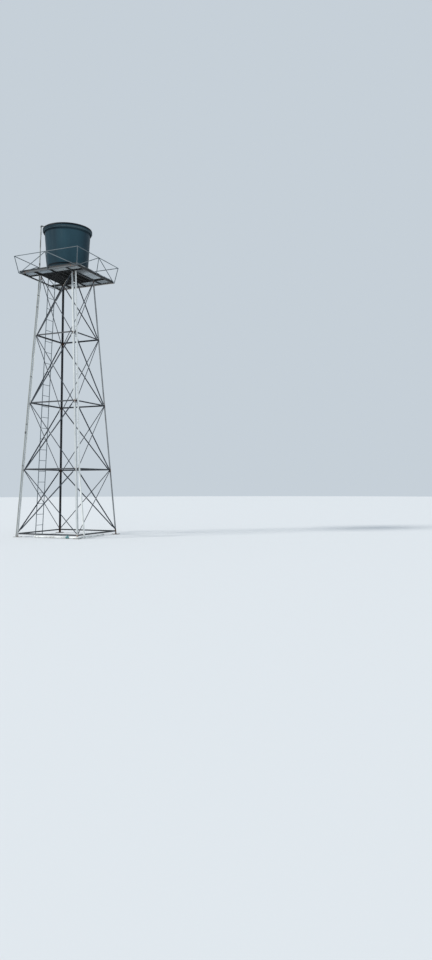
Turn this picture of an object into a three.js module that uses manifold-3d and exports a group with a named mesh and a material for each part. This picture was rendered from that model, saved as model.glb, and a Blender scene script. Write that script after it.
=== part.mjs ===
// Farm water tower: a splayed lattice tower of steel angles carries a planked platform with a
// leaning guard rail, and an open tapered tank stands on the planks.
// Millimetres, +Z up. The origin is on the tower's axis at ground level. The front of the tower
// looks along -Y and the ladder climbs the back, +Y.
import * as THREE from 'three';
import { mergeVertices } from 'three/addons/utils/BufferGeometryUtils.js';
import Module from 'manifold-3d';

const wasm = await Module();
wasm.setup();

// Driving dimensions of the tower
const TOUCH = 0.3;
const BATTER = 0.0627;
const SHOULDER_HALF = 568;
const SHOULDER_Z = 7640;
const RING_HEIGHTS = { base: 100, lower: 1975, middle: 3927, upper: 5927 };

// Rolled sections
const LEG_WIDTH = 50;
const LEG_THICKNESS = 5;
const RING_WIDTH = 40;
const RING_THICKNESS = 4;
const BRACE_WIDTH = 25;
const BRACE_THICKNESS = 3;
const BRACE_END = 12;
const BRACE_DROP = 60;
const BRACE_FOOT_Z = 146;
const BRACE_HEAD_Z = 7685;
const PACKING_SIZE = 10;
const PACKING_SET = 7;
const RIB_TRIM = 122;
const FOOT_PLATE = 200;
const FOOT_THICKNESS = 8;
const FOOT_INSET = 15;

// Platform
const PLATFORM_HALF = 992.5;
const JOIST_Z = 7700.6;
const BEAM_WIDTH = 60;
const BEAM_THICKNESS = 5;
const EDGE_WIDTH = 50;
const TIE_WIDTH = 20;
const JOIST_DEPTH = 50;
const JOIST_WIDTH = 40;
const JOIST_THICKNESS = 5;
const PLANK_THICKNESS = 25;
const PLANK_GAP = 5;
const WALKWAY_INNER = 560;
const HATCH_START = 604;
const HOLE_CLEARANCE = 3;
const LONG_JOISTS = [-546, 0, 546];
const SHORT_JOISTS = [-364, -182, 182, 364];

// Guard rail
const RAIL_RADIUS = 11;
const RAIL_BASE_HALF = 1004;
const RAIL_TOP_HALF = 1092;
const RAIL_BASE_Z = 7705;
const RAIL_TOP_Z = 8186;
const RAIL_BRACE_SET = 28;

// Ladder
const LADDER_CENTRE = 62;
const LADDER_WIDTH = 335;
const LADDER_STANDOFF = 60;
const LADDER_BAR_RADIUS = 12;
const RUNG_RADIUS = 8;
const RUNG_PITCH = 328;
const RUNG_TOP_SET = 245;
const RUNG_LOWEST = 200;
const LADDER_TOP_Z = 7752;
const LADDER_HEAD_Z = 7726;
const BRACKET_HALF_WIDTH = 12;
const BRACKET_HALF_THICKNESS = 3;

// Tank
const TANK_SEGMENTS = 48;
const TANK_WALL = 8;
const TANK_BOTTOM_RADIUS = 590;
const TANK_TAPER = 0.0661;
const TANK_TOP_Z = 9130;
const TANK_FLOOR = 10;
const RIM_OUTER = 727;
const RIM_THICKNESS = 11;
const RIM_DEPTH = 115;
const RIM_ROLL_DEPTH = 85;
const RIM_BAND = 702;
const RIM_LIP = 12;
const FOOT_BEAD = 4;

// Pipes
const MAIN_RADIUS = 24;
const RISER_RADIUS = 17;
const PIPE_SIDES = 10;
const BEND_RINGS = 6;
const BEND_GROW = 1.04;
const SOCKET_GROW = 5;
const COUPLING_LENGTH = 62;
const LEG_COUPLING_GROW = 4;
const ELBOW_LENGTH = 34;
const MAIN_STANDOFF = 32;
const MAIN_SIDE = 90;
const MAIN_KICK_Z = 1900;
const MAIN_KICK = 175;
const OUTLET_Z = 7925;
const OUTLET_FLANGE = 36;
const OUTLET_FLANGE_THICKNESS = 12;
const RISER_OFFSET = [-22, 17];
const RISER_STRAIGHT_Z = 7800;
const RISER_TOP_Z = 9172;
const RISER_HEAD_SET = 50;
const RISER_COUPLINGS = [8950, 8032, 3050];
const HOOK_REACH = 620;
const HOOK_DROP = 70;

// Pipe clips
const CLIP_GAP = 1.3;
const MAIN_CLIPS = [7380, 6100, 4700, 3300, 2080];
const RISER_CLIPS = [7110, 6760, 4700, 3300, 2080];
const CLIP_LENGTH = 28;
const CLIP_GROW = 3;
const CLIP_STRAP = 3;
const CLIP_EDGE = 8;
const CLIP_POST = 6;

// Header and valve
const RUN_FRONT_END = 250;
const RUN_LEFT_END = 400;
const CAP_LENGTH = 40;
const TEE_LENGTH = 96;
const TEE_RISE = 20;
const VALVE_Y = -735;
const VALVE_HALF = 62;
const VALVE_GROW = 6;
const VALVE_NUT_GROW = 12;
const VALVE_NUT_LENGTH = 30;
const STEM_RADIUS = 14;
const LEVER_HALF_LENGTH = 48;
const LEVER_HALF_WIDTH = 8;
const LEVER_LIFT = 4;
const LEVER_THICKNESS = 10;

// Levels that follow from the driving dimensions
const JOIST_FLANGE_Z = JOIST_Z + JOIST_DEPTH - JOIST_THICKNESS;
const BEAM_TOP_Z = JOIST_FLANGE_Z - TOUCH;
const LEG_TOP_Z = BEAM_TOP_Z - BEAM_THICKNESS - TOUCH;
const PLANK_Z = JOIST_Z + JOIST_DEPTH + TOUCH;
const DECK_Z = PLANK_Z + PLANK_THICKNESS;
const TANK_FLOOR_Z = DECK_Z + TOUCH;
const TANK_WALL_Z = TANK_FLOOR_Z + TANK_FLOOR + TOUCH;
const RIM_Z = TANK_TOP_Z - RIM_THICKNESS;

// Materials
const paint = (color, roughness, metalness) => (
  new THREE.MeshStandardMaterial({ color, roughness, metalness })
);
const galvanised = paint(0xb9bcb8, 0.5, 0.6);
const darkSteel = paint(0x4a4e50, 0.6, 0.5);
const timber = paint(0xa39c8d, 0.85, 0);
const tankPlastic = paint(0x34484f, 0.45, 0);
const pipePlastic = paint(0xe4e2d8, 0.4, 0);
const valvePlastic = paint(0x2f7f86, 0.4, 0);

// The tower's outer face at a height, measured from the axis
const faceAt = (z) => SHOULDER_HALF + BATTER * (SHOULDER_Z - z);

const tower = new THREE.Group();
tower.name = 'water_tower';

// Solids

// A closed geometry as a manifold, with its faces turned outwards.
function toSolid(geometry) {
  const bare = geometry.index ? geometry.clone() : mergeVertices(geometry.clone());
  bare.deleteAttribute('normal');
  bare.deleteAttribute('uv');
  const merged = mergeVertices(bare, 1e-3);
  const points = merged.attributes.position;
  const index = Uint32Array.from(merged.index.array);
  const corner = [new THREE.Vector3(), new THREE.Vector3(), new THREE.Vector3()];
  const kept = [];
  let volume = 0;
  for (let i = 0; i < index.length; i += 3) {
    const [a, b, c] = [index[i], index[i + 1], index[i + 2]];
    if (a === b || b === c || c === a) continue;
    kept.push(a, b, c);
    corner[0].fromBufferAttribute(points, a);
    corner[1].fromBufferAttribute(points, b);
    corner[2].fromBufferAttribute(points, c);
    volume += corner[0].dot(corner[1].cross(corner[2]));
  }
  if (volume < 0) {
    for (let i = 0; i < kept.length; i += 3) [kept[i], kept[i + 1]] = [kept[i + 1], kept[i]];
  }
  const mesh = new wasm.Mesh({
    numProp: 3,
    vertProperties: Float32Array.from(points.array),
    triVerts: Uint32Array.from(kept),
  });
  return new wasm.Manifold(mesh);
}

// Several overlapping geometries or manifolds as one.
function join(...pieces) {
  const solids = pieces.map((piece) => (piece.isBufferGeometry ? toSolid(piece) : piece));
  return solids.reduce((whole, solid) => whole.add(solid));
}

function add(name, shape, material) {
  const solid = shape.isBufferGeometry ? toSolid(shape) : shape;
  const { vertProperties, triVerts } = solid.getMesh();
  const geometry = new THREE.BufferGeometry();
  geometry.setAttribute('position', new THREE.BufferAttribute(Float32Array.from(vertProperties), 3));
  geometry.setIndex(new THREE.BufferAttribute(Uint32Array.from(triVerts), 1));
  geometry.computeVertexNormals();
  const mesh = new THREE.Mesh(geometry, material);
  mesh.name = name;
  tower.add(mesh);
}

// A leaning piece cut level at its foot.
function cutLevel(solid, z) {
  return solid.subtract(toSolid(block(-2000, -2000, z - 200, 2000, 2000, z)));
}

// A box between two opposite corners.
function block(x0, y0, z0, x1, y1, z1) {
  const box = new THREE.BoxGeometry(Math.abs(x1 - x0), Math.abs(y1 - y0), Math.abs(z1 - z0));
  return box.translate((x0 + x1) / 2, (y0 + y1) / 2, (z0 + z1) / 2);
}

// A round bar from one point to another.
function bar(from, to, radius, sides = 8) {
  const start = new THREE.Vector3(...from);
  const end = new THREE.Vector3(...to);
  const rod = new THREE.CylinderGeometry(radius, radius, start.distanceTo(end), sides);
  const turn = new THREE.Quaternion();
  turn.setFromUnitVectors(new THREE.Vector3(0, 1, 0), end.clone().sub(start).normalize());
  rod.applyQuaternion(turn);
  return rod.translate(...start.add(end).multiplyScalar(0.5).toArray());
}

// A pipe through a list of points, with round bends where it turns.
function pipe(route, radius) {
  const pieces = [];
  for (let i = 1; i < route.length; i += 1) {
    pieces.push(bar(route[i - 1], route[i], radius, PIPE_SIDES));
    if (i < route.length - 1) {
      const bend = new THREE.SphereGeometry(radius * BEND_GROW, PIPE_SIDES, BEND_RINGS);
      pieces.push(bend.translate(...route[i]));
    }
  }
  return join(...pieces);
}

// A coupling, elbow end or collar: a short thicker bar around a pipe.
function collar(centre, direction, length, radius) {
  const along = new THREE.Vector3(...direction).setLength(length / 2);
  const middle = new THREE.Vector3(...centre);
  const from = middle.clone().sub(along).toArray();
  const to = middle.clone().add(along).toArray();
  return bar(from, to, radius, PIPE_SIDES);
}

function shapeOf(points) {
  return new THREE.Shape(points.map(([x, y]) => new THREE.Vector2(x, y)));
}

// A prism on a horizontal outline, whose top is shifted sideways by `lean` per unit of height.
function prism(points, z0, z1, leanX = 0, leanY = 0) {
  const body = new THREE.ExtrudeGeometry(shapeOf(points), { depth: z1 - z0, bevelEnabled: false });
  const shear = new THREE.Matrix4().set(1, 0, leanX, 0, 0, 1, leanY, 0, 0, 0, 1, z0, 0, 0, 0, 1);
  return body.applyMatrix4(shear);
}

// An angle section that runs along X or Y. `outline` gives the section as [across, up] points.
function beam(outline, axis, from, to) {
  const body = new THREE.ExtrudeGeometry(shapeOf(outline), { depth: to - from, bevelEnabled: false });
  body.translate(0, 0, from);
  const basis = new THREE.Matrix4();
  const up = new THREE.Vector3(0, 0, 1);
  const x = new THREE.Vector3(1, 0, 0);
  const y = new THREE.Vector3(0, 1, 0);
  if (axis === 'x') basis.makeBasis(y, up, x);
  else basis.makeBasis(x, up, y);
  return body.applyMatrix4(basis);
}

// A ring with a square plan: the profile, as [distance from the axis, height], runs round four sides.
function squareRing(profile) {
  const points = profile.map(([out, z]) => new THREE.Vector2(out * Math.SQRT2, z));
  points.push(points[0].clone());
  return new THREE.LatheGeometry(points, 4, Math.PI / 4).rotateX(Math.PI / 2);
}

// A round ring or disc about the tower's axis, with a flat facet towards `facing`.
function roundRing(profile, facing, closed = true) {
  const points = profile.map(([radius, z]) => new THREE.Vector2(radius, z));
  if (closed) points.push(points[0].clone());
  const ring = new THREE.LatheGeometry(points, TANK_SEGMENTS).rotateX(Math.PI / 2);
  return ring.rotateZ(facing + Math.PI / 2 + Math.PI / TANK_SEGMENTS);
}

// Legs: a steel angle at each corner, leaning inwards both ways, on a square foot plate
const CORNERS = {
  front_left: [-1, -1],
  front_right: [1, -1],
  back_right: [1, 1],
  back_left: [-1, 1],
};

function leg([sx, sy]) {
  const out = faceAt(FOOT_THICKNESS - 1);
  const inner = out - LEG_WIDTH;
  const web = out - LEG_THICKNESS;
  const outline = [[out, out], [inner, out], [inner, web], [web, web], [web, inner], [out, inner]];
  const signed = outline.map(([x, y]) => [x * sx, y * sy]);
  const post = prism(signed, FOOT_THICKNESS - 1, LEG_TOP_Z, -BATTER * sx, -BATTER * sy);
  const centre = faceAt(0) - FOOT_INSET;
  const half = FOOT_PLATE / 2;
  const plate = block(sx * (centre - half), sy * (centre - half), 0,
    sx * (centre + half), sy * (centre + half), FOOT_THICKNESS);
  return join(post, plate);
}

for (const [corner, signs] of Object.entries(CORNERS)) add(`leg_${corner}`, leg(signs), galvanised);

// Rings: four angles between the legs, seated inside their flanges
const seatAt = (z) => faceAt(z) - LEG_THICKNESS - TOUCH;

function ring(z) {
  const low = z - RING_WIDTH / 2;
  const high = z + RING_WIDTH / 2;
  const web = high - RING_THICKNESS;
  return squareRing([
    [seatAt(low), low],
    [seatAt(high), high],
    [seatAt(high) - RING_WIDTH, high],
    [seatAt(web) - RING_WIDTH, web],
    [seatAt(web) - RING_THICKNESS, web],
    [seatAt(low) - RING_THICKNESS, low],
  ]);
}

for (const [name, z] of Object.entries(RING_HEIGHTS)) add(`ring_${name}`, ring(z), darkSteel);

// Cross bracing: in each bay of each face two thin angles cross on the outside of the legs, one
// flat on them and one over it on packings
const SLOPE = Math.atan(BATTER);

// One angle of the bracing in the plane of a face, from its left end [u, w] to its right end.
function braceBar([u0, w0], [u1, w1], packed) {
  const length = Math.hypot(u1 - u0, w1 - w0);
  const half = BRACE_WIDTH / 2;
  const under = packed ? BRACE_THICKNESS + TOUCH * 2 : TOUCH;
  const top = under + BRACE_THICKNESS;
  const pieces = [
    block(0, -half, under, length, half, top),
    block(RIB_TRIM, -half, top - BRACE_WIDTH, length - RIB_TRIM, BRACE_THICKNESS - half, top),
  ];
  if (packed) {
    const side = PACKING_SIZE / 2;
    for (const middle of [PACKING_SET, length - PACKING_SET]) {
      pieces.push(block(middle - side, -side, TOUCH, middle + side, side, top - BRACE_THICKNESS / 2));
    }
  }
  const turn = new THREE.Matrix4().makeRotationZ(Math.atan2(w1 - w0, u1 - u0));
  turn.setPosition(u0, w0, 0);
  return pieces.map((piece) => piece.applyMatrix4(turn));
}

function crossBrace(low, high) {
  const inset = LEG_THICKNESS + BRACE_END + BRACE_WIDTH / 2;
  const foot = [faceAt(low) - inset, low / Math.cos(SLOPE)];
  const head = [faceAt(high) - inset, high / Math.cos(SLOPE)];
  const rising = braceBar([-foot[0], foot[1]], head, false);
  const falling = braceBar([-head[0], head[1]], foot, true);
  return join(...rising, ...falling);
}

// A face's own axes: u runs along the face, w up its slope and n out of it.
function facePlacement(turn) {
  const lean = new THREE.Matrix4().makeBasis(
    new THREE.Vector3(1, 0, 0),
    new THREE.Vector3(0, Math.sin(SLOPE), Math.cos(SLOPE)),
    new THREE.Vector3(0, -Math.cos(SLOPE), Math.sin(SLOPE)),
  );
  lean.setPosition(0, -faceAt(0), 0);
  return new THREE.Matrix4().makeRotationZ(turn).multiply(lean);
}

// Above the lowest bay the braces start a little under one ring, and they end level with the next
const FACES = { front: 0, right: Math.PI / 2, back: Math.PI, left: -Math.PI / 2 };
const BAYS = [
  [BRACE_FOOT_Z, RING_HEIGHTS.lower],
  [RING_HEIGHTS.lower - BRACE_DROP, RING_HEIGHTS.middle],
  [RING_HEIGHTS.middle - BRACE_DROP, RING_HEIGHTS.upper],
  [RING_HEIGHTS.upper - BRACE_DROP, BRACE_HEAD_Z],
];

for (const [face, turn] of Object.entries(FACES)) {
  const place = facePlacement(turn).elements;
  BAYS.forEach(([low, high], i) => {
    add(`brace_${face}_${i + 1}`, crossBrace(low, high).transform(place), galvanised);
  });
}

// Platform steel: two main beams capped over the legs, joists notched over them, and an edge angle
function angleOutline(side, width, depth, thickness, z, flangeOnTop) {
  const flangeFar = side.face + side.inward * width;
  const web = side.face + side.inward * thickness;
  const top = z + depth;
  if (flangeOnTop) {
    return [[side.face, z], [side.face, top], [flangeFar, top], [flangeFar, top - thickness],
      [web, top - thickness], [web, z]];
  }
  return [[side.face, top], [side.face, z], [flangeFar, z], [flangeFar, z + thickness],
    [web, z + thickness], [web, top]];
}

const MEMBER_REACH = PLATFORM_HALF - JOIST_THICKNESS - TOUCH;
const BEAM_FACE = faceAt(JOIST_Z) + TOUCH + BEAM_THICKNESS;
const BELOW_Z = JOIST_Z - JOIST_DEPTH;

// A main beam: its flange lies over the legs, and its ends rest on the edge angles.
function mainBeam(sign) {
  const side = { face: sign * BEAM_FACE, inward: -sign };
  const outline = angleOutline(side, BEAM_WIDTH, BEAM_TOP_Z - JOIST_Z, BEAM_THICKNESS, JOIST_Z, true);
  const rest = PLATFORM_HALF - EDGE_WIDTH - TOUCH;
  const restZ = JOIST_Z + JOIST_THICKNESS + TOUCH;
  return [-1, 1].reduce((solid, end) => solid.subtract(toSolid(
    block(-PLATFORM_HALF, end * rest, BELOW_Z, PLATFORM_HALF, end * PLATFORM_HALF, restZ),
  )), toSolid(beam(outline, 'y', -MEMBER_REACH, MEMBER_REACH)));
}

for (const [name, sign] of [['left', -1], ['right', 1]]) {
  add(`main_beam_${name}`, mainBeam(sign), darkSteel);
  const side = { face: sign * PLATFORM_HALF, inward: -sign };
  const low = JOIST_Z - TOUCH - JOIST_THICKNESS;
  const depth = JOIST_Z + JOIST_DEPTH - low;
  const outline = angleOutline(side, EDGE_WIDTH, depth, JOIST_THICKNESS, low, false);
  add(`edge_beam_${name}`, beam(outline, 'y', -PLATFORM_HALF, PLATFORM_HALF), darkSteel);
}

for (const [name, sign] of [['front', -1], ['back', 1]]) {
  const side = { face: sign * PLATFORM_HALF, inward: -sign };
  const outline = angleOutline(side, EDGE_WIDTH, JOIST_DEPTH, JOIST_THICKNESS, JOIST_Z, false);
  add(`edge_beam_${name}`, beam(outline, 'x', -MEMBER_REACH, MEMBER_REACH), darkSteel);
}

// A joist: its top flange runs over the main beams and its web is notched round them and the legs.
function joist(y, reach) {
  const side = { face: y, inward: y > 0 ? -1 : 1 };
  const outline = angleOutline(side, JOIST_WIDTH, JOIST_DEPTH, JOIST_THICKNESS, JOIST_Z, true);
  const wide = JOIST_DEPTH * 2;
  const webNotch = faceAt(LEG_TOP_Z) - LEG_THICKNESS - TOUCH;
  const flangeNotch = BEAM_FACE - BEAM_WIDTH - TOUCH;
  const underFlange = BEAM_TOP_Z - BEAM_THICKNESS - TOUCH;
  const far = BEAM_FACE + TOUCH;
  let solid = toSolid(beam(outline, 'x', -reach, reach));
  for (const sign of [-1, 1]) {
    const cuts = [
      block(sign * webNotch, y - wide, BELOW_Z, sign * far, y + wide, JOIST_FLANGE_Z),
      block(sign * flangeNotch, y - wide, underFlange, sign * far, y + wide, JOIST_FLANGE_Z),
    ];
    for (const cut of cuts) solid = solid.subtract(toSolid(cut));
  }
  return solid;
}

const joistPlan = [
  ...LONG_JOISTS.map((y) => [y, MEMBER_REACH]),
  ...SHORT_JOISTS.map((y) => [y, BEAM_FACE]),
].sort((a, b) => a[0] - b[0]);
joistPlan.forEach(([y, reach], i) => add(`joist_${i + 1}`, joist(y, reach), darkSteel));

// A thin tie runs under the joists from the front left leg to the back right one
function platformTie() {
  const top = JOIST_Z - TOUCH;
  const legInside = faceAt(top) - LEG_THICKNESS - TOUCH;
  const reach = legInside * Math.SQRT2 - TIE_WIDTH / 2;
  const half = TIE_WIDTH / 2;
  const flat = block(-reach, -half, top - BRACE_THICKNESS, reach, half, top);
  const rib = block(-reach, -BRACE_THICKNESS / 2, top - TIE_WIDTH, reach, BRACE_THICKNESS / 2, top);
  return join(flat.rotateZ(Math.PI / 4), rib.rotateZ(Math.PI / 4));
}

add('platform_tie', platformTie(), galvanised);

// Routes of the two upright pipes
const mainAt = (z) => [-(faceAt(z) - 15) + MAIN_SIDE, -(faceAt(z) + MAIN_STANDOFF)];
const mainTop = mainAt(SHOULDER_Z);
const outletAngle = Math.atan2(mainTop[1], mainTop[0]);
const riserAt = (z) => [-faceAt(z) + RISER_OFFSET[0], faceAt(z) + RISER_OFFSET[1]];
const riserTop = riserAt(SHOULDER_Z);

// Planks: two side walkways, a front walkway, and the deck under the tank; the back stays open
const slab = (x0, y0, x1, y1) => toSolid(block(x0, y0, PLANK_Z, x1, y1, DECK_Z));
const hole = ([x, y], radius) => toSolid(bar([x, y, PLANK_Z - 5], [x, y, DECK_Z + 5], radius, 16));
const inner = WALKWAY_INNER - PLANK_GAP;
const outer = PLATFORM_HALF;
const deckLeft = slab(-outer, -outer, -WALKWAY_INNER, outer);
const deckFront = slab(-inner, -outer, inner, -WALKWAY_INNER);
add('deck_left', deckLeft.subtract(hole(riserTop, RISER_RADIUS + HOLE_CLEARANCE)), timber);
add('deck_right', slab(WALKWAY_INNER, -outer, outer, outer), timber);
add('deck_front', deckFront.subtract(hole(mainTop, MAIN_RADIUS + HOLE_CLEARANCE)), timber);
add('deck_centre', slab(-inner, -inner, inner, HATCH_START), timber);

// Guard rail: each side has a corner post, a middle post, a top rail and two braces up to its middle
function railPanel() {
  const base = RAIL_BASE_HALF;
  const top = RAIL_TOP_HALF;
  const next = RAIL_RADIUS * 2 + 2;
  const braceFoot = base - RAIL_BRACE_SET;
  return join(
    bar([base, -base, RAIL_BASE_Z], [top, -top, RAIL_TOP_Z], RAIL_RADIUS),
    bar([-top + next, -top, RAIL_TOP_Z], [top + RAIL_RADIUS, -top, RAIL_TOP_Z], RAIL_RADIUS),
    bar([0, -base, RAIL_BASE_Z], [0, -top, RAIL_TOP_Z], RAIL_RADIUS),
    bar([braceFoot, -base, RAIL_BASE_Z], [0, -top, RAIL_TOP_Z], RAIL_RADIUS),
    bar([-braceFoot, -base, RAIL_BASE_Z], [0, -top, RAIL_TOP_Z], RAIL_RADIUS),
  );
}

for (const [face, turn] of Object.entries(FACES)) {
  const place = new THREE.Matrix4().makeRotationZ(turn).elements;
  add(`guard_rail_${face}`, railPanel().transform(place), galvanised);
}

// Ladder: it leans with the back face, a hand's width outside it, and stops at the open strip
function ladder() {
  const at = (side, z) => [LADDER_CENTRE + side * LADDER_WIDTH / 2, faceAt(z) + LADDER_STANDOFF, z];
  const pieces = [-1, 1].map((side) => bar(at(side, 0), at(side, LADDER_TOP_Z), LADDER_BAR_RADIUS));
  const highest = LADDER_TOP_Z - RUNG_TOP_SET;
  for (let z = highest; z > RUNG_LOWEST; z -= RUNG_PITCH) {
    pieces.push(bar(at(-1, z), at(1, z), RUNG_RADIUS, 6));
  }
  const bracket = ([x, y, z], from) => block(
    x - BRACKET_HALF_THICKNESS, from, z - BRACKET_HALF_WIDTH,
    x + BRACKET_HALF_THICKNESS, y, z + BRACKET_HALF_WIDTH,
  );
  for (const side of [-1, 1]) {
    for (const z of Object.values(RING_HEIGHTS)) pieces.push(bracket(at(side, z), seatAt(z) + CLIP_GAP));
    pieces.push(bracket(at(side, LADDER_HEAD_Z), LONG_JOISTS.at(-1) + TOUCH));
  }
  return join(...pieces);
}

add('ladder', cutLevel(ladder(), 0), galvanised);

// Tank: an open bucket that widens upwards, with a rolled rim
const tankRadius = (z) => TANK_BOTTOM_RADIUS + TANK_TAPER * (z - TANK_WALL_Z);
const wallTop = RIM_Z - TOUCH;
const rimInner = tankRadius(wallTop) - TANK_WALL - RIM_LIP;
const rollZ = TANK_TOP_Z - RIM_ROLL_DEPTH;

add('tank_bottom', roundRing([
  [0, TANK_FLOOR_Z],
  [TANK_BOTTOM_RADIUS + FOOT_BEAD, TANK_FLOOR_Z],
  [TANK_BOTTOM_RADIUS + FOOT_BEAD, TANK_FLOOR_Z + TANK_FLOOR],
  [0, TANK_FLOOR_Z + TANK_FLOOR],
], outletAngle, false), tankPlastic);

add('tank_wall', roundRing([
  [tankRadius(TANK_WALL_Z), TANK_WALL_Z],
  [tankRadius(wallTop), wallTop],
  [tankRadius(wallTop) - TANK_WALL, wallTop],
  [tankRadius(TANK_WALL_Z) - TANK_WALL, TANK_WALL_Z],
], outletAngle), tankPlastic);

add('tank_rim', roundRing([
  [RIM_BAND, TANK_TOP_Z - RIM_DEPTH],
  [RIM_BAND, rollZ],
  [RIM_OUTER, rollZ],
  [RIM_OUTER, TANK_TOP_Z],
  [rimInner, TANK_TOP_Z],
  [rimInner, RIM_Z],
  [RIM_OUTER - TANK_WALL, RIM_Z],
  [RIM_OUTER - TANK_WALL, rollZ + TANK_WALL],
  [RIM_BAND - TANK_WALL, rollZ + TANK_WALL],
  [RIM_BAND - TANK_WALL, TANK_TOP_Z - RIM_DEPTH],
], outletAngle), tankPlastic);

// The direction in which a pipe leans with the leg at a corner
const leanOf = (sx, sy) => [-BATTER * sx, -BATTER * sy, 1];

// Fill riser: it climbs the back left leg's corner, leans to the tank and hooks over its rim
function riser() {
  const away = Math.hypot(...riserTop);
  const towards = (reach) => riserTop.map((value) => value * reach / away);
  const head = towards(away - RISER_HEAD_SET);
  const hook = towards(HOOK_REACH);
  const body = pipe([
    [...riserAt(0), 0],
    [...riserTop, SHOULDER_Z],
    [...riserTop, RISER_STRAIGHT_Z],
    [...head, RISER_TOP_Z],
    [...hook, RISER_TOP_Z],
    [...hook, RISER_TOP_Z - HOOK_DROP],
  ], RISER_RADIUS);
  const radius = RISER_RADIUS + SOCKET_GROW;
  const rise = RISER_TOP_Z - RISER_STRAIGHT_Z;
  const lean = [head[0] - riserTop[0], head[1] - riserTop[1], rise];
  const leaning = (z) => {
    const share = (z - RISER_STRAIGHT_Z) / rise;
    return [riserTop[0] + lean[0] * share, riserTop[1] + lean[1] * share, z];
  };
  const pieces = [body];
  for (const z of RISER_COUPLINGS) {
    if (z > SHOULDER_Z) {
      pieces.push(collar(leaning(z), lean, COUPLING_LENGTH, radius));
    } else {
      const size = RISER_RADIUS + LEG_COUPLING_GROW;
      pieces.push(collar([...riserAt(z), z], leanOf(-1, 1), COUPLING_LENGTH, size));
    }
  }
  pieces.push(collar(leaning(RISER_TOP_Z - ELBOW_LENGTH), lean, ELBOW_LENGTH, radius));
  const elbowEnd = towards(away - RISER_HEAD_SET - ELBOW_LENGTH);
  pieces.push(collar([...elbowEnd, RISER_TOP_Z], [...riserTop, 0], ELBOW_LENGTH, radius));
  for (const z of RISER_CLIPS) {
    const [cx, cy] = riserAt(z);
    const face = faceAt(z);
    const low = z - CLIP_LENGTH / 2;
    pieces.push(collar([cx, cy, z], leanOf(-1, 1), CLIP_LENGTH, RISER_RADIUS + CLIP_GROW));
    const near = face + CLIP_GAP;
    const far = -face + LEG_WIDTH - CLIP_EDGE;
    pieces.push(block(far, near, low, cx, near + CLIP_STRAP, low + CLIP_LENGTH));
  }
  return join(...pieces);
}

add('fill_riser', cutLevel(riser(), FOOT_THICKNESS + TOUCH), pipePlastic);

// Down pipe: it leaves the tank low on its wall and follows the front left leg to the ground
const HEADER_Z = FOOT_THICKNESS + TOUCH + MAIN_RADIUS + SOCKET_GROW;
const HEADER_OUT = faceAt(0) + MAIN_STANDOFF;
const TEE_TOP_Z = HEADER_Z + MAIN_RADIUS + SOCKET_GROW + TEE_RISE;
const TEE_X = mainAt(0)[0] + MAIN_KICK;

function downPipe() {
  const [x, y] = mainTop;
  const away = Math.hypot(x, y);
  const facet = Math.cos(Math.PI / TANK_SEGMENTS);
  const wall = tankRadius(OUTLET_Z + OUTLET_FLANGE) * facet + TOUCH;
  const towards = (radius) => [x * radius / away, y * radius / away, OUTLET_Z];
  const body = pipe([
    towards(wall + 2),
    [x, y, OUTLET_Z],
    [x, y, SHOULDER_Z],
    [...mainAt(MAIN_KICK_Z), MAIN_KICK_Z],
    [TEE_X, -HEADER_OUT, HEADER_Z],
  ], MAIN_RADIUS);
  const radius = MAIN_RADIUS + SOCKET_GROW;
  const pieces = [body];
  const flangeMiddle = towards(wall + OUTLET_FLANGE_THICKNESS / 2);
  pieces.push(collar(flangeMiddle, [x, y, 0], OUTLET_FLANGE_THICKNESS, OUTLET_FLANGE));
  pieces.push(collar([x, y, OUTLET_Z - ELBOW_LENGTH], [0, 0, 1], ELBOW_LENGTH, radius));
  for (const z of MAIN_CLIPS) {
    const [cx, cy] = mainAt(z);
    const face = faceAt(z);
    const low = z - CLIP_LENGTH / 2;
    pieces.push(collar([cx, cy, z], leanOf(-1, -1), CLIP_LENGTH, MAIN_RADIUS + CLIP_GROW));
    const near = -face - CLIP_GAP;
    const far = cx + CLIP_POST;
    pieces.push(block(-face + CLIP_EDGE, near, low, far, near - CLIP_STRAP, low + CLIP_LENGTH));
    pieces.push(block(cx - CLIP_POST, near, low, far, cy, low + CLIP_LENGTH));
  }
  return join(...pieces);
}

add('down_pipe', cutLevel(downPipe(), TEE_TOP_Z + TOUCH), pipePlastic);

// Header on the ground: a tee under the down pipe, one run along the front and one round the
// corner along the left side, with a ball valve; the ends are capped where the pipes lead away
function headerFront() {
  const radius = MAIN_RADIUS + SOCKET_GROW;
  const corner = [-HEADER_OUT, -HEADER_OUT, HEADER_Z];
  const body = pipe([
    [-HEADER_OUT, VALVE_Y - VALVE_HALF, HEADER_Z],
    corner,
    [RUN_FRONT_END, -HEADER_OUT, HEADER_Z],
  ], MAIN_RADIUS);
  return join(
    body,
    collar([TEE_X, -HEADER_OUT, HEADER_Z], [1, 0, 0], TEE_LENGTH, radius),
    bar([TEE_X, -HEADER_OUT, HEADER_Z], [TEE_X, -HEADER_OUT, TEE_TOP_Z], radius, PIPE_SIDES),
    collar([-HEADER_OUT + ELBOW_LENGTH, -HEADER_OUT, HEADER_Z], [1, 0, 0], ELBOW_LENGTH, radius),
    collar([-HEADER_OUT, -HEADER_OUT + ELBOW_LENGTH, HEADER_Z], [0, 1, 0], ELBOW_LENGTH, radius),
    collar([RUN_FRONT_END - CAP_LENGTH / 2, -HEADER_OUT, HEADER_Z], [1, 0, 0], CAP_LENGTH, radius),
  );
}

function headerLeft() {
  const radius = MAIN_RADIUS + SOCKET_GROW;
  const start = VALVE_Y + VALVE_HALF + TOUCH;
  return join(
    bar([-HEADER_OUT, start, HEADER_Z], [-HEADER_OUT, RUN_LEFT_END, HEADER_Z], MAIN_RADIUS, PIPE_SIDES),
    collar([-HEADER_OUT, RUN_LEFT_END - CAP_LENGTH / 2, HEADER_Z], [0, 1, 0], CAP_LENGTH, radius),
  );
}

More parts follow.
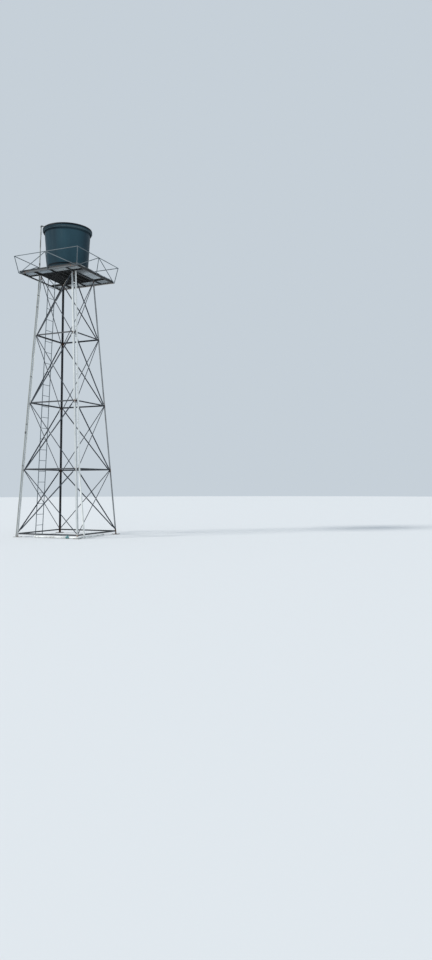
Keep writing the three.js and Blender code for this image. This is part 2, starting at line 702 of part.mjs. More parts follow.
const STEM_TOP_Z = HEADER_Z + MAIN_RADIUS + VALVE_NUT_GROW + VALVE_GROW;

function valveBody() {
  const start = VALVE_Y - VALVE_HALF + TOUCH;
  const end = VALVE_Y + VALVE_HALF;
  const at = (y, z = HEADER_Z) => [-HEADER_OUT, y, z];
  return join(
    bar(at(start), at(end), MAIN_RADIUS + VALVE_GROW, PIPE_SIDES),
    bar(at(start), at(start + VALVE_NUT_LENGTH), MAIN_RADIUS + SOCKET_GROW, 8),
    bar(at(VALVE_Y), at(VALVE_Y, STEM_TOP_Z), STEM_RADIUS, PIPE_SIDES),
  );
}

function valveHandle() {
  const z = STEM_TOP_Z + TOUCH;
  const top = z + LEVER_LIFT + LEVER_THICKNESS;
  return join(
    bar([-HEADER_OUT, VALVE_Y, z], [-HEADER_OUT, VALVE_Y, top], STEM_RADIUS - 1, PIPE_SIDES),
    block(-HEADER_OUT - LEVER_HALF_WIDTH, VALVE_Y - LEVER_HALF_LENGTH, z + LEVER_LIFT,
      -HEADER_OUT + LEVER_HALF_WIDTH, VALVE_Y + LEVER_HALF_LENGTH, top),
  );
}

add('header_front', headerFront(), pipePlastic);
add('header_left', headerLeft(), pipePlastic);
add('valve_body', valveBody(), valvePlastic);
add('valve_handle', valveHandle(), valvePlastic);

export default tower;
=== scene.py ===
"""The looks of a farm water tower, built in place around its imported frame.

A splayed lattice tower of steel angles carries a planked platform with a leaning guard rail, and an
open tapered tank stands on the planks. Every length is in metres, +Z is up, the front looks along
-Y and the ladder climbs the back. A local frame is written as (along the side, up its slope,
out of it).
"""

from __future__ import annotations

import logging
import math
import random
from collections.abc import Callable, Iterable, Iterator, Mapping, Sequence
from contextlib import contextmanager
from dataclasses import dataclass
from enum import Enum
from typing import Any

import bmesh
import bpy
from mathutils import Matrix, Vector

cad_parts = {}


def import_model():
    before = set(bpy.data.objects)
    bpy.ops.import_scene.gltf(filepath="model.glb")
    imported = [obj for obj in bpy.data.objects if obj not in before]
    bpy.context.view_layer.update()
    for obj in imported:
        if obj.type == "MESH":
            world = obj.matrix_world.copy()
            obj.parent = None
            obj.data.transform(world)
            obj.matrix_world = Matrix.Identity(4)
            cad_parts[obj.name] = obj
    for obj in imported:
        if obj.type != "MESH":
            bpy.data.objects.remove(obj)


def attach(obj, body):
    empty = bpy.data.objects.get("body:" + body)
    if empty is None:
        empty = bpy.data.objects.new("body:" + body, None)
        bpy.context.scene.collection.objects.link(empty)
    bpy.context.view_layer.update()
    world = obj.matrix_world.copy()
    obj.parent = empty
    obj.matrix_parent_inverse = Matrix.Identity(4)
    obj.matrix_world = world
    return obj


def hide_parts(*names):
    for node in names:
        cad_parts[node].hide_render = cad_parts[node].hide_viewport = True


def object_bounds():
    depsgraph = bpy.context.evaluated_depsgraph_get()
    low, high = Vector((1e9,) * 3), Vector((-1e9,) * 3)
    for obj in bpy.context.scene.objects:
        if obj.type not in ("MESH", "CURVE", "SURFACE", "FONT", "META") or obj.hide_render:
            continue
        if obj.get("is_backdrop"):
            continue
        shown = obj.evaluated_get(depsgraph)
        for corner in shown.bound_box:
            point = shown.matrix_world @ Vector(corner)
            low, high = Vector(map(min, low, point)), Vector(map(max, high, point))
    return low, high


Thing = bpy.types.Object
Material = bpy.types.Material
Point = Sequence[float]
Colour = tuple[float, float, float]
Series = tuple[float, ...]
Test = Callable[[Any], bool]

LOG = logging.getLogger("water_tower")
BODY = "root"
FULL_TURN = 2 * math.pi
BEND_STEP = math.radians(11)
# How many steps a small turned piece takes
FEW = 12
# The gap that touching pieces keep, the distance within which points are the same, how far a blank or
# a cutter goes past what counts, and a height above the whole tower, where no mark shows
TOUCH = 0.0003
NEAR = 1e-5
PAST = 0.01
NOWHERE = 100.0


class Elements(Enum):
    """What is picked in edit mode."""

    VERTS = "VERT"
    EDGES = "EDGE"
    FACES = "FACE"


class Side(Enum):
    """A side of the tower, as the turn about Z that brings the front round to it."""

    FRONT = 0.0
    RIGHT = math.pi / 2
    BACK = math.pi
    LEFT = -math.pi / 2


class Corner(Enum):
    """A corner of the tower, as the signs of its X and Y."""

    FRONT_LEFT = (-1, -1)
    FRONT_RIGHT = (1, -1)
    BACK_RIGHT = (1, 1)
    BACK_LEFT = (-1, 1)


# The tower's own outline


@dataclass(frozen=True)
class Outline:
    """Four faces that lean inwards evenly from the ground to the platform."""

    batter: float = 0.0627
    shoulder_half: float = 0.568
    shoulder: float = 7.64
    leg_top: float = 7.74
    levels: Series = (0.1, 1.975, 3.927, 5.927)
    level_names: tuple[str, ...] = ("base", "lower", "middle", "upper")
    flange: float = 0.005

    def face_at(self, z: float) -> float:
        """Give the distance from the axis to the outer face at a height."""
        return self.shoulder_half + self.batter * (self.shoulder - z)

    def seat_at(self, z: float) -> float:
        """Give the distance from the axis to the inner face of the legs' flanges."""
        return self.face_at(z) - self.flange - TOUCH

    @property
    def slope(self) -> float:
        """Give the angle at which a face leans."""
        return math.atan(self.batter)

    def up_face(self, z: float) -> float:
        """Give the length up the sloping face that reaches a height."""
        return z / math.cos(self.slope)

    def side_frame(self, side: Side, depth: float = 0.0) -> Matrix:
        """Give the frame of a face: along it, up its slope and out of it.

        Args:
            side: Which face.
            depth: How far inside the outer face the frame lies.

        Returns:
            The matrix from the face's frame to the tower's.
        """
        sine, cosine = math.sin(self.slope), math.cos(self.slope)
        lean = Matrix((
            (1, 0, 0, 0),
            (0, sine, -cosine, -self.face_at(0)),
            (0, cosine, sine, 0),
            (0, 0, 0, 1),
        ))
        return Matrix.Rotation(side.value, 4, "Z") @ lean @ Matrix.Translation((0, 0, -depth))

    def corner_frame(self, corner: Corner) -> Matrix:
        """Give the frame of a leg: its heel on the corner, its flanges along the faces, leaning with it.

        Args:
            corner: Which leg.

        Returns:
            The matrix from the leg's frame to the tower's.
        """
        sx, sy = corner.value
        base = self.face_at(0)
        one = (-sx, 0) if sx * sy > 0 else (0, -sx)
        two = (0, -sy) if sx * sy > 0 else (-sy, 0)
        return Matrix((
            (*one, -sx * self.batter, sx * base),
            (*two, -sy * self.batter, sy * base),
            (0, 0, 1, 0),
            (0, 0, 0, 1),
        ))


TOWER = Outline()


# The workbench: operators on one piece at a time


def take(piece: Thing) -> None:
    """Select one piece alone and make it active.

    Args:
        piece: The piece.
    """
    bpy.ops.object.select_all(action="DESELECT")
    piece.select_set(True)
    bpy.context.view_layer.objects.active = piece


def started(name: str, add: Callable[..., Any], **settings: Any) -> Thing:
    """Add a primitive with nothing else selected, and put its place and scale into its mesh.

    Args:
        name: Its name.
        add: The operator that adds it.
        **settings: The operator's settings.

    Returns:
        The new piece.
    """
    bpy.ops.object.select_all(action="DESELECT")
    add(**settings)
    piece = bpy.context.object
    take(piece)
    bpy.ops.object.transform_apply(location=True, rotation=True, scale=True)
    piece.name = name
    piece.data.name = name
    return piece


def placed(piece: Thing, place: Matrix) -> Thing:
    """Move a new piece's mesh to its place."""
    piece.data.transform(place)
    return piece


def linked(name: str, data: bpy.types.ID) -> Thing:
    """Put a mesh, a lamp or a camera into the scene.

    Args:
        name: Its name.
        data: What it holds.

    Returns:
        The object.
    """
    thing = bpy.data.objects.new(name, data)
    bpy.context.scene.collection.objects.link(thing)
    return thing


@contextmanager
def shaping(piece: Thing) -> Iterator[None]:
    """Hold one piece in edit mode with nothing selected.

    Args:
        piece: The piece.

    Yields:
        Nothing, while the piece is open.
    """
    take(piece)
    bpy.ops.object.mode_set(mode="EDIT")
    bpy.ops.mesh.select_all(action="DESELECT")
    yield
    bpy.ops.object.mode_set(mode="OBJECT")


def pick(piece: Thing, kind: Elements, test: Test) -> None:
    """Select the elements of a piece that pass a test.

    Args:
        piece: The piece in edit mode.
        kind: What is selected.
        test: Says whether one is wanted.
    """
    bpy.ops.mesh.select_mode(type=kind.value)
    bpy.ops.mesh.select_all(action="DESELECT")
    mesh = bmesh.from_edit_mesh(piece.data)
    mesh.normal_update()
    pools = {Elements.VERTS: mesh.verts, Elements.EDGES: mesh.edges, Elements.FACES: mesh.faces}
    wanted = [element for element in pools[kind] if test(element)]
    if not wanted:
        raise ValueError(f"{piece.name}: no {kind.value.lower()} was found to pick")
    for element in wanted:
        element.select_set(True)
    mesh.select_flush_mode()
    bmesh.update_edit_mesh(piece.data)


def line_at(axis: int, **place: float) -> Test:
    """Make a test for edges that run along an axis through a place.

    Args:
        axis: The axis that they run along, 0 to 2.
        **place: The other coordinates, named x, y or z.

    Returns:
        A test for a bmesh edge.
    """
    wanted = [("xyz".index(key), value) for key, value in place.items()]
    along = spans(axis)
    return lambda edge: along(edge) and all(
        abs(v.co[i] - value) < NEAR for v in edge.verts for i, value in wanted)


def in_planes(axis: int, *places: float) -> Test:
    """Make a test for edges whose ends lie in some planes across an axis."""
    return lambda edge: all(any(abs(v.co[axis] - at) < NEAR for at in places) for v in edge.verts)


def spans(axis: int, least: float = NEAR) -> Test:
    """Make a test for edges that reach further than a length along an axis."""
    return lambda edge: abs(edge.verts[0].co[axis] - edge.verts[1].co[axis]) > least


def facing(axis: int, sign: int, where: Test = lambda middle: True) -> Test:
    """Make a test for faces that face one way along an axis, with their middle where it is wanted."""
    return lambda face: sign * face.normal[axis] > 0.9 and where(face.calc_center_median())


def push(*by: float) -> None:
    """Move what is selected."""
    bpy.ops.transform.translate(value=by)


def pull_out(*by: float) -> None:
    """Extrude what is selected."""
    bpy.ops.mesh.extrude_region_move(TRANSFORM_OT_translate={"value": by})


def bevel(piece: Thing, test: Test, offset: float, segments: int = 2) -> None:
    """Bevel the edges of a piece that pass a test."""
    pick(piece, Elements.EDGES, test)
    bpy.ops.mesh.bevel(offset=offset, segments=segments, affect="EDGES", profile=0.5)


def slice_at(point: Point, normal: Point, clear: bool = False) -> None:
    """Cut the whole piece by a plane, and where asked clear its normal's side and fill the cut."""
    bpy.ops.mesh.select_all(action="SELECT")
    bpy.ops.mesh.bisect(plane_co=point, plane_no=normal, use_fill=clear, clear_outer=clear)


def tidy_shell() -> None:
    """Merge doubles, close holes and turn every face outwards."""
    bpy.ops.mesh.select_all(action="SELECT")
    bpy.ops.mesh.remove_doubles(threshold=NEAR)
    bpy.ops.mesh.fill_holes(sides=0)
    bpy.ops.mesh.select_all(action="SELECT")
    bpy.ops.mesh.normals_make_consistent(inside=False)


def blank(name: str, low: Point, high: Point) -> Thing:
    """Add a cube blank between two opposite corners."""
    size, middle = zip(*((b - a, (a + b) / 2) for a, b in zip(low, high)))
    return started(name, bpy.ops.mesh.primitive_cube_add, size=1, location=middle, scale=size)


def cylinder(name: str, sides: int, radius: float, height: float, middle: Point = (0, 0, 0)) -> Thing:
    """Add a plain cylinder along Z, from which rods, bolt heads and nuts are shaped."""
    add = bpy.ops.mesh.primitive_cylinder_add
    return started(name, add, vertices=sides, radius=radius, depth=height, location=middle)


def rod(name: str, start: Point, end: Point, radius: float, sides: int = 16, ease: float = 0.12) -> Thing:
    """Model a round bar with eased ends from one point to another.

    Args:
        name: Its name.
        start: The centre of its first end.
        end: The centre of its other end.
        radius: Its radius.
        sides: How many sides it has.
        ease: The ends' bevel as a share of the radius.

    Returns:
        The bar.
    """
    reach = Vector(end) - Vector(start)
    half = reach.length / 2
    piece = cylinder(name, sides, radius, reach.length)
    with shaping(piece):
        bevel(piece, in_planes(2, -half, half), radius * ease)
    turn = reach.to_track_quat("Z", "Y").to_matrix().to_4x4()
    return placed(piece, Matrix.Translation((Vector(start) + Vector(end)) / 2) @ turn)


def turned(name: str, outline: Sequence[tuple[float, float]], steps: int = 24) -> Thing:
    """Spin an outline round the Z axis, as on a lathe.

    Args:
        name: Its name.
        outline: Its (radius, height) points, which end on the axis or where they start.
        steps: How many steps the spin takes.

    Returns:
        The closed shell.
    """
    piece = started(name, bpy.ops.mesh.primitive_plane_add, size=1)
    with shaping(piece):
        first = piece.data.vertices[0].co.copy()
        pick(piece, Elements.VERTS, lambda v: (v.co - first).length > NEAR)
        bpy.ops.mesh.delete(type="VERT")
        bpy.ops.mesh.select_all(action="SELECT")
        at = Vector((outline[0][0], 0, outline[0][1]))
        push(*(at - first))
        for radius, height in outline[1:]:
            move = Vector((radius, 0, height)) - at
            bpy.ops.mesh.extrude_vertices_move(TRANSFORM_OT_translate={"value": move})
            at += move
        bpy.ops.mesh.select_all(action="SELECT")
        bpy.ops.mesh.spin(steps=steps, angle=FULL_TURN, center=(0, 0, 0), axis=(0, 0, 1))
        tidy_shell()
    return piece


def pipe_run(name: str, route: Sequence[Point], radius: float, bend: float, sides: int = 20) -> Thing:
    """Draw a pipe along a route, from a circle that is extruded and spun round each bend.

    Args:
        name: Its name.
        route: The corners of its centre line.
        radius: The pipe's radius.
        bend: The radius of the centre line where it turns.
        sides: How many sides it has.

    Returns:
        The closed pipe.
    """
    corners = [Vector(point) for point in route]
    first = (corners[1] - corners[0]).normalized()
    piece = started(name, bpy.ops.mesh.primitive_circle_add, vertices=sides, radius=radius)
    ahead = first.to_track_quat("Z", "Y").to_matrix().to_4x4()
    placed(piece, Matrix.Translation(corners[0]) @ ahead)
    with shaping(piece):
        bpy.ops.mesh.select_mode(type="EDGE")
        bpy.ops.mesh.select_all(action="SELECT")
        at = corners[0]
        for before, corner, after in zip(corners, corners[1:], corners[2:] + [None]):
            ahead = (corner - before).normalized()
            if after is None:
                pull_out(*(corner - at))
                break
            onward = (after - corner).normalized()
            turn = ahead.angle(onward)
            trim = bend * math.tan(turn / 2)
            pull_out(*(corner - ahead * trim - at))
            axis = ahead.cross(onward).normalized()
            centre = corner - ahead * trim + axis.cross(ahead) * bend
            steps = max(2, round(turn / BEND_STEP))
            bpy.ops.mesh.spin(steps=steps, angle=turn, center=centre, axis=-axis)
            at = corner + onward * trim
        tidy_shell()
    return piece


def gather(name: str, pieces: Sequence[Thing]) -> Thing:
    """Join several pieces into one.

    Args:
        name: Its name.
        pieces: The pieces.

    Returns:
        The joined piece.
    """
    take(pieces[0])
    for piece in pieces:
        piece.select_set(True)
    if len(pieces) > 1:
        bpy.ops.object.join()
    joined = bpy.context.view_layer.objects.active
    joined.name = name
    joined.data.name = name
    return joined


def copied(name: str, pattern: Thing, place: Matrix) -> Thing:
    """Copy a pattern to another place, with a mesh of its own."""
    return placed(linked(name, pattern.data.copy()), place)


def repeated(name: str, pattern: Thing, places: Iterable[Matrix]) -> Thing:
    """Copy a pattern to many places as one piece, and put the pattern away.

    Args:
        name: Its name.
        pattern: The piece that is copied.
        places: Where each copy goes.

    Returns:
        The copies, joined.
    """
    built = bmesh.new()
    for place in places:
        one = pattern.data.copy()
        one.transform(place)
        built.from_mesh(one)
        bpy.data.meshes.remove(one)
    mesh = bpy.data.meshes.new(name)
    built.to_mesh(mesh)
    built.free()
    piece = linked(name, mesh)
    discard(pattern)
    return piece


def discard(piece: Thing) -> None:
    """Remove a pattern that has done its work, with its mesh."""
    bpy.data.meshes.remove(piece.data)


def carve(piece: Thing, cutter: Thing) -> None:
    """Cut a piece by another one, which is put away.

    Args:
        piece: What is cut.
        cutter: The shape that is taken away.
    """
    take(piece)
    cut = piece.modifiers.new("cut", "BOOLEAN")
    cut.operation = "DIFFERENCE"
    cut.solver = "EXACT"
    cut.object = cutter
    bpy.ops.object.modifier_apply(modifier=cut.name)
    discard(cutter)


def upright(point: Point, direction: Point = (0, 0, 1)) -> Matrix:
    """Give the place of a pattern that stands at a point with its +Z along a direction."""
    turn = Vector(direction).normalized().to_track_quat("Z", "Y").to_matrix().to_4x4()
    return Matrix.Translation(Vector(point)) @ turn


def fit(piece: Thing, finish: Material, slot: str, *nodes: str, degrees: float = 32) -> Thing:
    """Finish a piece: its shading, material, body and the frame nodes that it stands for.

    Args:
        piece: The finished mesh.
        finish: Its material.
        slot: The material slot of the record; it is not used.
        *nodes: The CAD nodes that it replaces.
        degrees: Above this angle an edge stays sharp.

    Returns:
        The same piece.
    """
    take(piece)
    bpy.ops.object.shade_smooth_by_angle(angle=math.radians(degrees))
    piece.data.materials.clear()
    piece.data.materials.append(finish)
    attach(piece, BODY)
    if nodes:
        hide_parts(*nodes)
    LOG.info("%s: %d faces", piece.name, len(piece.data.polygons))
    return piece


# Shader writing


class Value:
    """A socket of a material, with Python's arithmetic for numbers."""

    def __init__(self, paint: Paint, socket: bpy.types.NodeSocket) -> None:
        """Wrap a socket of a material that is being written."""
        self.paint = paint
        self.socket = socket

    def _math(self, operation: str, *terms: Value | float, clamp: bool = False) -> Value:
        """Add one Math node on some terms."""
        settings = {"operation": operation, "use_clamp": clamp}
        return self.paint.node("Math", settings, dict(enumerate(terms)))

    def __add__(self, other: Value | float) -> Value:
        """Add."""
        return self._math("ADD", self, other)

    __radd__ = __add__

    def __sub__(self, other: Value | float) -> Value:
        """Subtract."""
        return self._math("SUBTRACT", self, other)

    def __rsub__(self, other: float) -> Value:
        """Subtract this from a number."""
        return self._math("SUBTRACT", other, self)

    def __mul__(self, other: Value | float) -> Value:
        """Multiply."""
        return self._math("MULTIPLY", self, other)

    __rmul__ = __mul__

    def __truediv__(self, other: Value | float) -> Value:
        """Divide."""
        return self._math("DIVIDE", self, other)

    def __abs__(self) -> Value:
        """Drop the sign."""
        return self._math("ABSOLUTE", self)

    def clamped(self) -> Value:
        """Keep within 0 and 1."""
        return self._math("ADD", self, 0.0, clamp=True)

    def most(self, other: Value | float) -> Value:
        """Take the larger."""
        return self._math("MAXIMUM", self, other)

    def above(self, level: float, soft: float) -> Value:
        """Rise from 0 at a level to 1 a little above it."""
        return self._math("DIVIDE", self - level, soft, clamp=True)

    def near(self, level: float, reach: float) -> Value:
        """Peak at a level and fall to 0 at a reach from it."""
        return (1 - abs(self - level) / reach).clamped()


class Paint:
    """A material as it is written, one node at a time."""

    def __init__(self, name: str) -> None:
        """Start an empty material with a Principled shader.

        Args:
            name: The material's name.
        """
        self.material = bpy.data.materials.new(name)
        self.material.use_nodes = True
        self.tree = self.material.node_tree
        self.tree.nodes.clear()
        self.shader = self.tree.nodes.new("ShaderNodeBsdfPrincipled")
        output = self.tree.nodes.new("ShaderNodeOutputMaterial")
        self.tree.links.new(self.shader.outputs[0], output.inputs[0])

    def node(
        self,
        kind: str,
        settings: Mapping[str, Any] | None = None,
        inputs: Mapping[int | str, Any] | None = None,
        output: int | str = 0,
    ) -> Value:
        """Add a node, set it up and wire its inputs.

        Args:
            kind: The node's type, without "ShaderNode".
            settings: Its settings, and `stops` for a ramp as (position, colour) pairs.
            inputs: Values or links of its sockets, by name or number.
            output: The output that is wanted.

        Returns:
            That output.
        """
        node = self.tree.nodes.new("ShaderNode" + kind)
        for key, value in (settings or {}).items():
            if key == "stops":
                self._ramp(node.color_ramp, value)
            else:
                setattr(node, key, value)
        for key, value in (inputs or {}).items():
            self.wire(node.inputs[key], value)
        return Value(self, node.outputs[output])

    @staticmethod
    def _ramp(ramp: bpy.types.ColorRamp, stops: Sequence[tuple[float, Colour]]) -> None:
        """Set a ramp's stops.

        Args:
            ramp: The ramp.
            stops: Its (position, colour) pairs.
        """
        while len(ramp.elements) < len(stops):
            ramp.elements.new(0.5)
        for element, (position, colour) in zip(ramp.elements, stops):
            element.position = position
            element.color = (*colour, 1)

    def wire(self, socket: bpy.types.NodeSocket, value: Any) -> None:
        """Link a socket to a value, or set it to a constant.

        Args:
            socket: The socket.
            value: A value or a constant.
        """
        if isinstance(value, Value):
            self.tree.links.new(value.socket, socket)
        elif isinstance(value, tuple) and socket.type == "RGBA" and len(value) == 3:
            socket.default_value = (*value, 1)
        else:
            socket.default_value = value

    def place(self, stretch: Point = (1, 1, 1), own: Value | None = None) -> Value:
        """Give coordinates stretched, which are the object's own unless others are given."""
        inputs = {"Vector": own or self.node("TexCoord", output="Object"), "Scale": tuple(stretch)}
        return self.node("Mapping", None, inputs)

    def height(self) -> Value:
        """Give the height above the ground."""
        return self.node("SeparateXYZ", None, {0: self.place()}, output="Z")

    def reach(self) -> Value:
        """Give the larger of the distances from the tower's axis along X and Y."""
        parts = [self.node("SeparateXYZ", None, {0: self.place()}, output=axis) for axis in "XY"]
        return abs(parts[0]).most(abs(parts[1]))

    def towards(self, direction: Point) -> Value:
        """Give the distance from the tower's foot in a direction, times its length."""
        inputs = {0: self.place(), 1: direction}
        return self.node("VectorMath", {"operation": "DOT_PRODUCT"}, inputs, output="Value")

    def noise(self, scale: float, detail: float = 4, rough: float = 0.55, at: Value | None = None) -> Value:
        """Give a noise of about 0 to 1: its waves to a metre, its layers, their strength and its place."""
        inputs = {"Vector": at or self.place(), "Scale": scale, "Detail": detail, "Roughness": rough}
        return self.node("TexNoise", None, inputs, output="Fac")

    def attribute(self, name: str) -> Value:
        """Read a number that the piece carries on its points."""
        return self.node("Attribute", {"attribute_name": name}, output="Fac")

    def mix(self, mask: Value | float, low: Value | Colour, high: Value | Colour) -> Value:
        """Blend two colours by a mask."""
        return self.node("Mix", {"data_type": "RGBA"}, {0: mask, 6: low, 7: high}, output=2)

    def bump(self, height: Value, depth: float, strength: float = 1.0) -> None:
        """Raise the surface by a height of 0 to 1 times a depth in metres."""
        inputs = {"Height": height, "Distance": depth, "Strength": strength}
        self.wire(self.shader.inputs["Normal"], self.node("Bump", None, inputs))

    def surface(self, **values: Any) -> Material:
        """Set the shader's sockets.

        Args:
            **values: Values or constants by name, with `_` for a space.

        Returns:
            The finished material.
        """
        for key, value in values.items():
            self.wire(self.shader.inputs[key.replace("_", " ")], value)
        return self.material


# Finishes


@dataclass(frozen=True)
class SteelFinish:
    """Painted steel that has dulled, run and rusted, with painted shade and a painted shade line where
    given.
    """

    name: str
    paint: Colour
    dulled: Colour
    grime: Colour = (0.12, 0.12, 0.115)
    rust_pale: Colour = (0.24, 0.11, 0.05)
    rust_deep: Colour = (0.075, 0.03, 0.016)
    # The colour of the painted shade and of the painted shade line
    painted_shade: Colour = (0.018, 0.02, 0.022)
    rust_level: float = 0.66
    joint_rust: float = 0.16
    roughness: float = 0.48
    metallic: float = 0.25
    joints: Series = (0.03, *TOWER.levels, 7.66)
    joint_reach: float = 0.16
    # Where the painted shade starts, in height and across X, and the height of the painted shade line
    shade_z: float = NOWHERE
    shade_x: float = -0.564
    shade_line_z: float = NOWHERE

    def make(self) -> Material:
        """Write the material.

        Returns:
            The material.
        """
        paint = Paint(self.name)
        height = paint.height()
        joint = height.near(self.joints[0], self.joint_reach)
        for level in self.joints[1:]:
            joint = joint.most(height.near(level, self.joint_reach))
        patches = paint.noise(13, 9, 0.68)
        specks = paint.noise(95, 3, 0.6)
        blotches = paint.noise(2.4, 5, 0.6)
        runs = paint.noise(1, 4, 0.6, paint.place((46, 46, 1.3)))
        rust = (patches + joint * self.joint_rust + specks * 0.06).above(self.rust_level, 0.045)
        worn = paint.mix(blotches.above(0.38, 0.3), self.paint, self.dulled)
        streaked = paint.mix(runs.above(0.52, 0.25) * 0.35, worn, self.grime)
        rusted = paint.mix(paint.noise(42, 5, 0.7).above(0.4, 0.25), self.rust_deep, self.rust_pale)
        stain = (patches + joint * self.joint_rust).above(self.rust_level - 0.07, 0.1) * 0.4
        # Painted shade: above a height, the flange that faces -Y is darkened where it stands in shade under
        # the deck, and a painted shade line darkens a narrow band at a height
        painted_shade = height.above(self.shade_z, 0.06) * paint.towards((1.0, 0.0, 0.0)).above(self.shade_x, 0.004)
        dark_and_shade = (height.near(self.shade_line_z, 0.022) * 2).clamped()
        dark = (painted_shade * 0.9).most(dark_and_shade * 0.75)
        stained = paint.mix(dark, paint.mix(stain, streaked, self.rust_pale), self.painted_shade)
        paint.bump(rust * (0.5 + specks * 0.5) + specks * 0.12, 0.0012, 0.6)
        return paint.surface(
            Base_Color=paint.mix(rust, stained, rusted),
            Roughness=(self.roughness + specks * 0.14 + rust * 0.28).clamped(),
            Metallic=self.metallic * (1 - rust),
            Specular_IOR_Level=0.25,
        )


@dataclass(frozen=True)
class BoardFinish:
    """Bare sawn planks greyed by the weather, darker at cracks, on outer edges and at a low tone, partly
    painted shade.
    """

    name: str
    grain_pale: Colour = (0.68, 0.73, 0.74)
    grain_dark: Colour = (0.34, 0.36, 0.37)
    cool: Colour = (0.4, 0.48, 0.55)
    dark_and_shade: Colour = (0.006, 0.0062, 0.006)
    edge_at: float = 0.9915

    def make(self) -> Material:
        """Write the material.

        Returns:
            The material.
        """
        paint = Paint(self.name)
        board = paint.attribute("board")
        tone = paint.attribute("tone")
        tint = paint.attribute("tint")
        shift = paint.node("CombineXYZ", None, {0: board * 7, 1: board * 3, 2: board * 11})
        own = paint.node("VectorMath", {"operation": "ADD"}, {0: paint.place(), 1: shift})
        fibres = paint.noise(1.6, 7, 0.7, paint.place((60, 2.2, 60), own))
        bands = paint.noise(1, 4, 0.6, paint.place((14, 0.8, 14), own))
        crack = paint.noise(1, 2, 0.5, paint.place((90, 3, 20), own)).above(0.66, 0.03)
        figure = (fibres * 0.65 + bands * 0.5 + board * 0.25 - 0.2).clamped()
        grain = paint.mix(figure, self.grain_dark, self.grain_pale)
        cooled = paint.mix(tint * (0.6 + bands * 0.4), grain, self.cool)
        mould = paint.noise(5, 6, 0.65, own).above(0.52, 0.18)
        stained = paint.mix((mould * 0.4).clamped(), cooled, self.grain_dark)
        # A low tone darkens a plank; on the deck under the tank this is partly painted shade. The outer
        # edge faces are painted darker
        darkened = paint.mix((1 - tone).clamped(), stained, self.dark_and_shade)
        edge = paint.reach().above(self.edge_at, 0.0006) * 0.85
        cracked = paint.mix((crack * 0.8).most(edge), darkened, self.dark_and_shade)
        paint.bump(fibres * 0.6 + bands * 0.3 - crack * 0.8, 0.002, 0.7)
        return paint.surface(
            Base_Color=cracked,
            Roughness=(0.72 + fibres * 0.2).clamped(),
            Specular_IOR_Level=0.2,
        )


@dataclass(frozen=True)
class TankFinish:
    """Moulded blue-green plastic with a satin face, dust, runs below the rim, and painted light and shade.
    """

    name: str
    body: Colour = (0.0145, 0.036, 0.051)
    # The lighter colour of faded patches and of the side that is painted lit
    faded_and_lit: Colour = (0.042, 0.095, 0.122)
    dust: Colour = (0.12, 0.15, 0.16)
    shade: Colour = (0.004, 0.008, 0.012)
    foot_z: float = 7.7762
    # The height of a band of painted shade near the foot
    shade_band_z: float = 7.99
    rim_z: float = 9.015
    top_z: float = 9.13
    # The direction of the side that is painted lighter, as painted light
    painted_light_from: Point = (-1.16, -1.12, -0.08)

    def make(self) -> Material:
        """Write the material.

        Returns:
            The material.
        """
        paint = Paint(self.name)
        height = paint.height()
        clouds = paint.noise(1.7, 5, 0.55)
        runs = paint.noise(1, 5, 0.6, paint.place((17, 17, 0.55)))
        fine = paint.noise(240, 2, 0.5)
        # Painted light: the side that faces the given direction is mixed towards the lighter colour so that
        # it reads as lit, while clouds add real faded patches
        painted_light = paint.towards(self.painted_light_from).above(0.074, 0.24)
        faded_and_lit = paint.mix(clouds.above(0.35, 0.35) * 0.15 + painted_light * 0.7, self.body, self.faded_and_lit)
        splash = (height.near(self.foot_z, 0.14) * paint.noise(22, 6, 0.7)).above(0.22, 0.4)
        streak = runs.above(0.56, 0.16) * height.near(self.rim_z, 0.9) * 0.12
        ledge = height.near(self.top_z, 0.03) * paint.noise(30, 5, 0.6).above(0.4, 0.3)
        dusty = paint.mix((streak + splash * 0.3 + ledge * 0.15).clamped(), faded_and_lit, self.dust)
        # Painted light and shade at the rim and foot: band is a painted highlight under the roll in the
        # dust colour, brighter on the painted-lit side; under is a painted shadow on the wall below the
        # rim; roll darkens the rim's roll; foot and below are painted shade in a band near the foot and
        # beneath it
        band = height.near(self.rim_z + 0.02, 0.024) * (painted_light * 0.5 + 0.3)
        under = height.near(self.rim_z - 0.03, 0.028) * 0.8
        roll = height.above(self.top_z - 0.07, 0.02).most(under) * 0.95
        foot = (height.near(self.shade_band_z, 0.032) * 2).clamped() * 0.95
        below = (1 - (height - self.shade_band_z + 0.03) / 0.03).clamped() * 0.35
        lit = paint.mix(band, dusty, self.dust)
        paint.bump(fine * 0.5 + clouds * 0.5, 0.0005, 0.5)
        return paint.surface(
            Base_Color=paint.mix(roll.most(foot).most(below), lit, self.shade),
            Roughness=(0.36 + clouds * 0.12 + streak * 0.3 + splash * 0.2).clamped(),
            Specular_IOR_Level=0.08,
        )


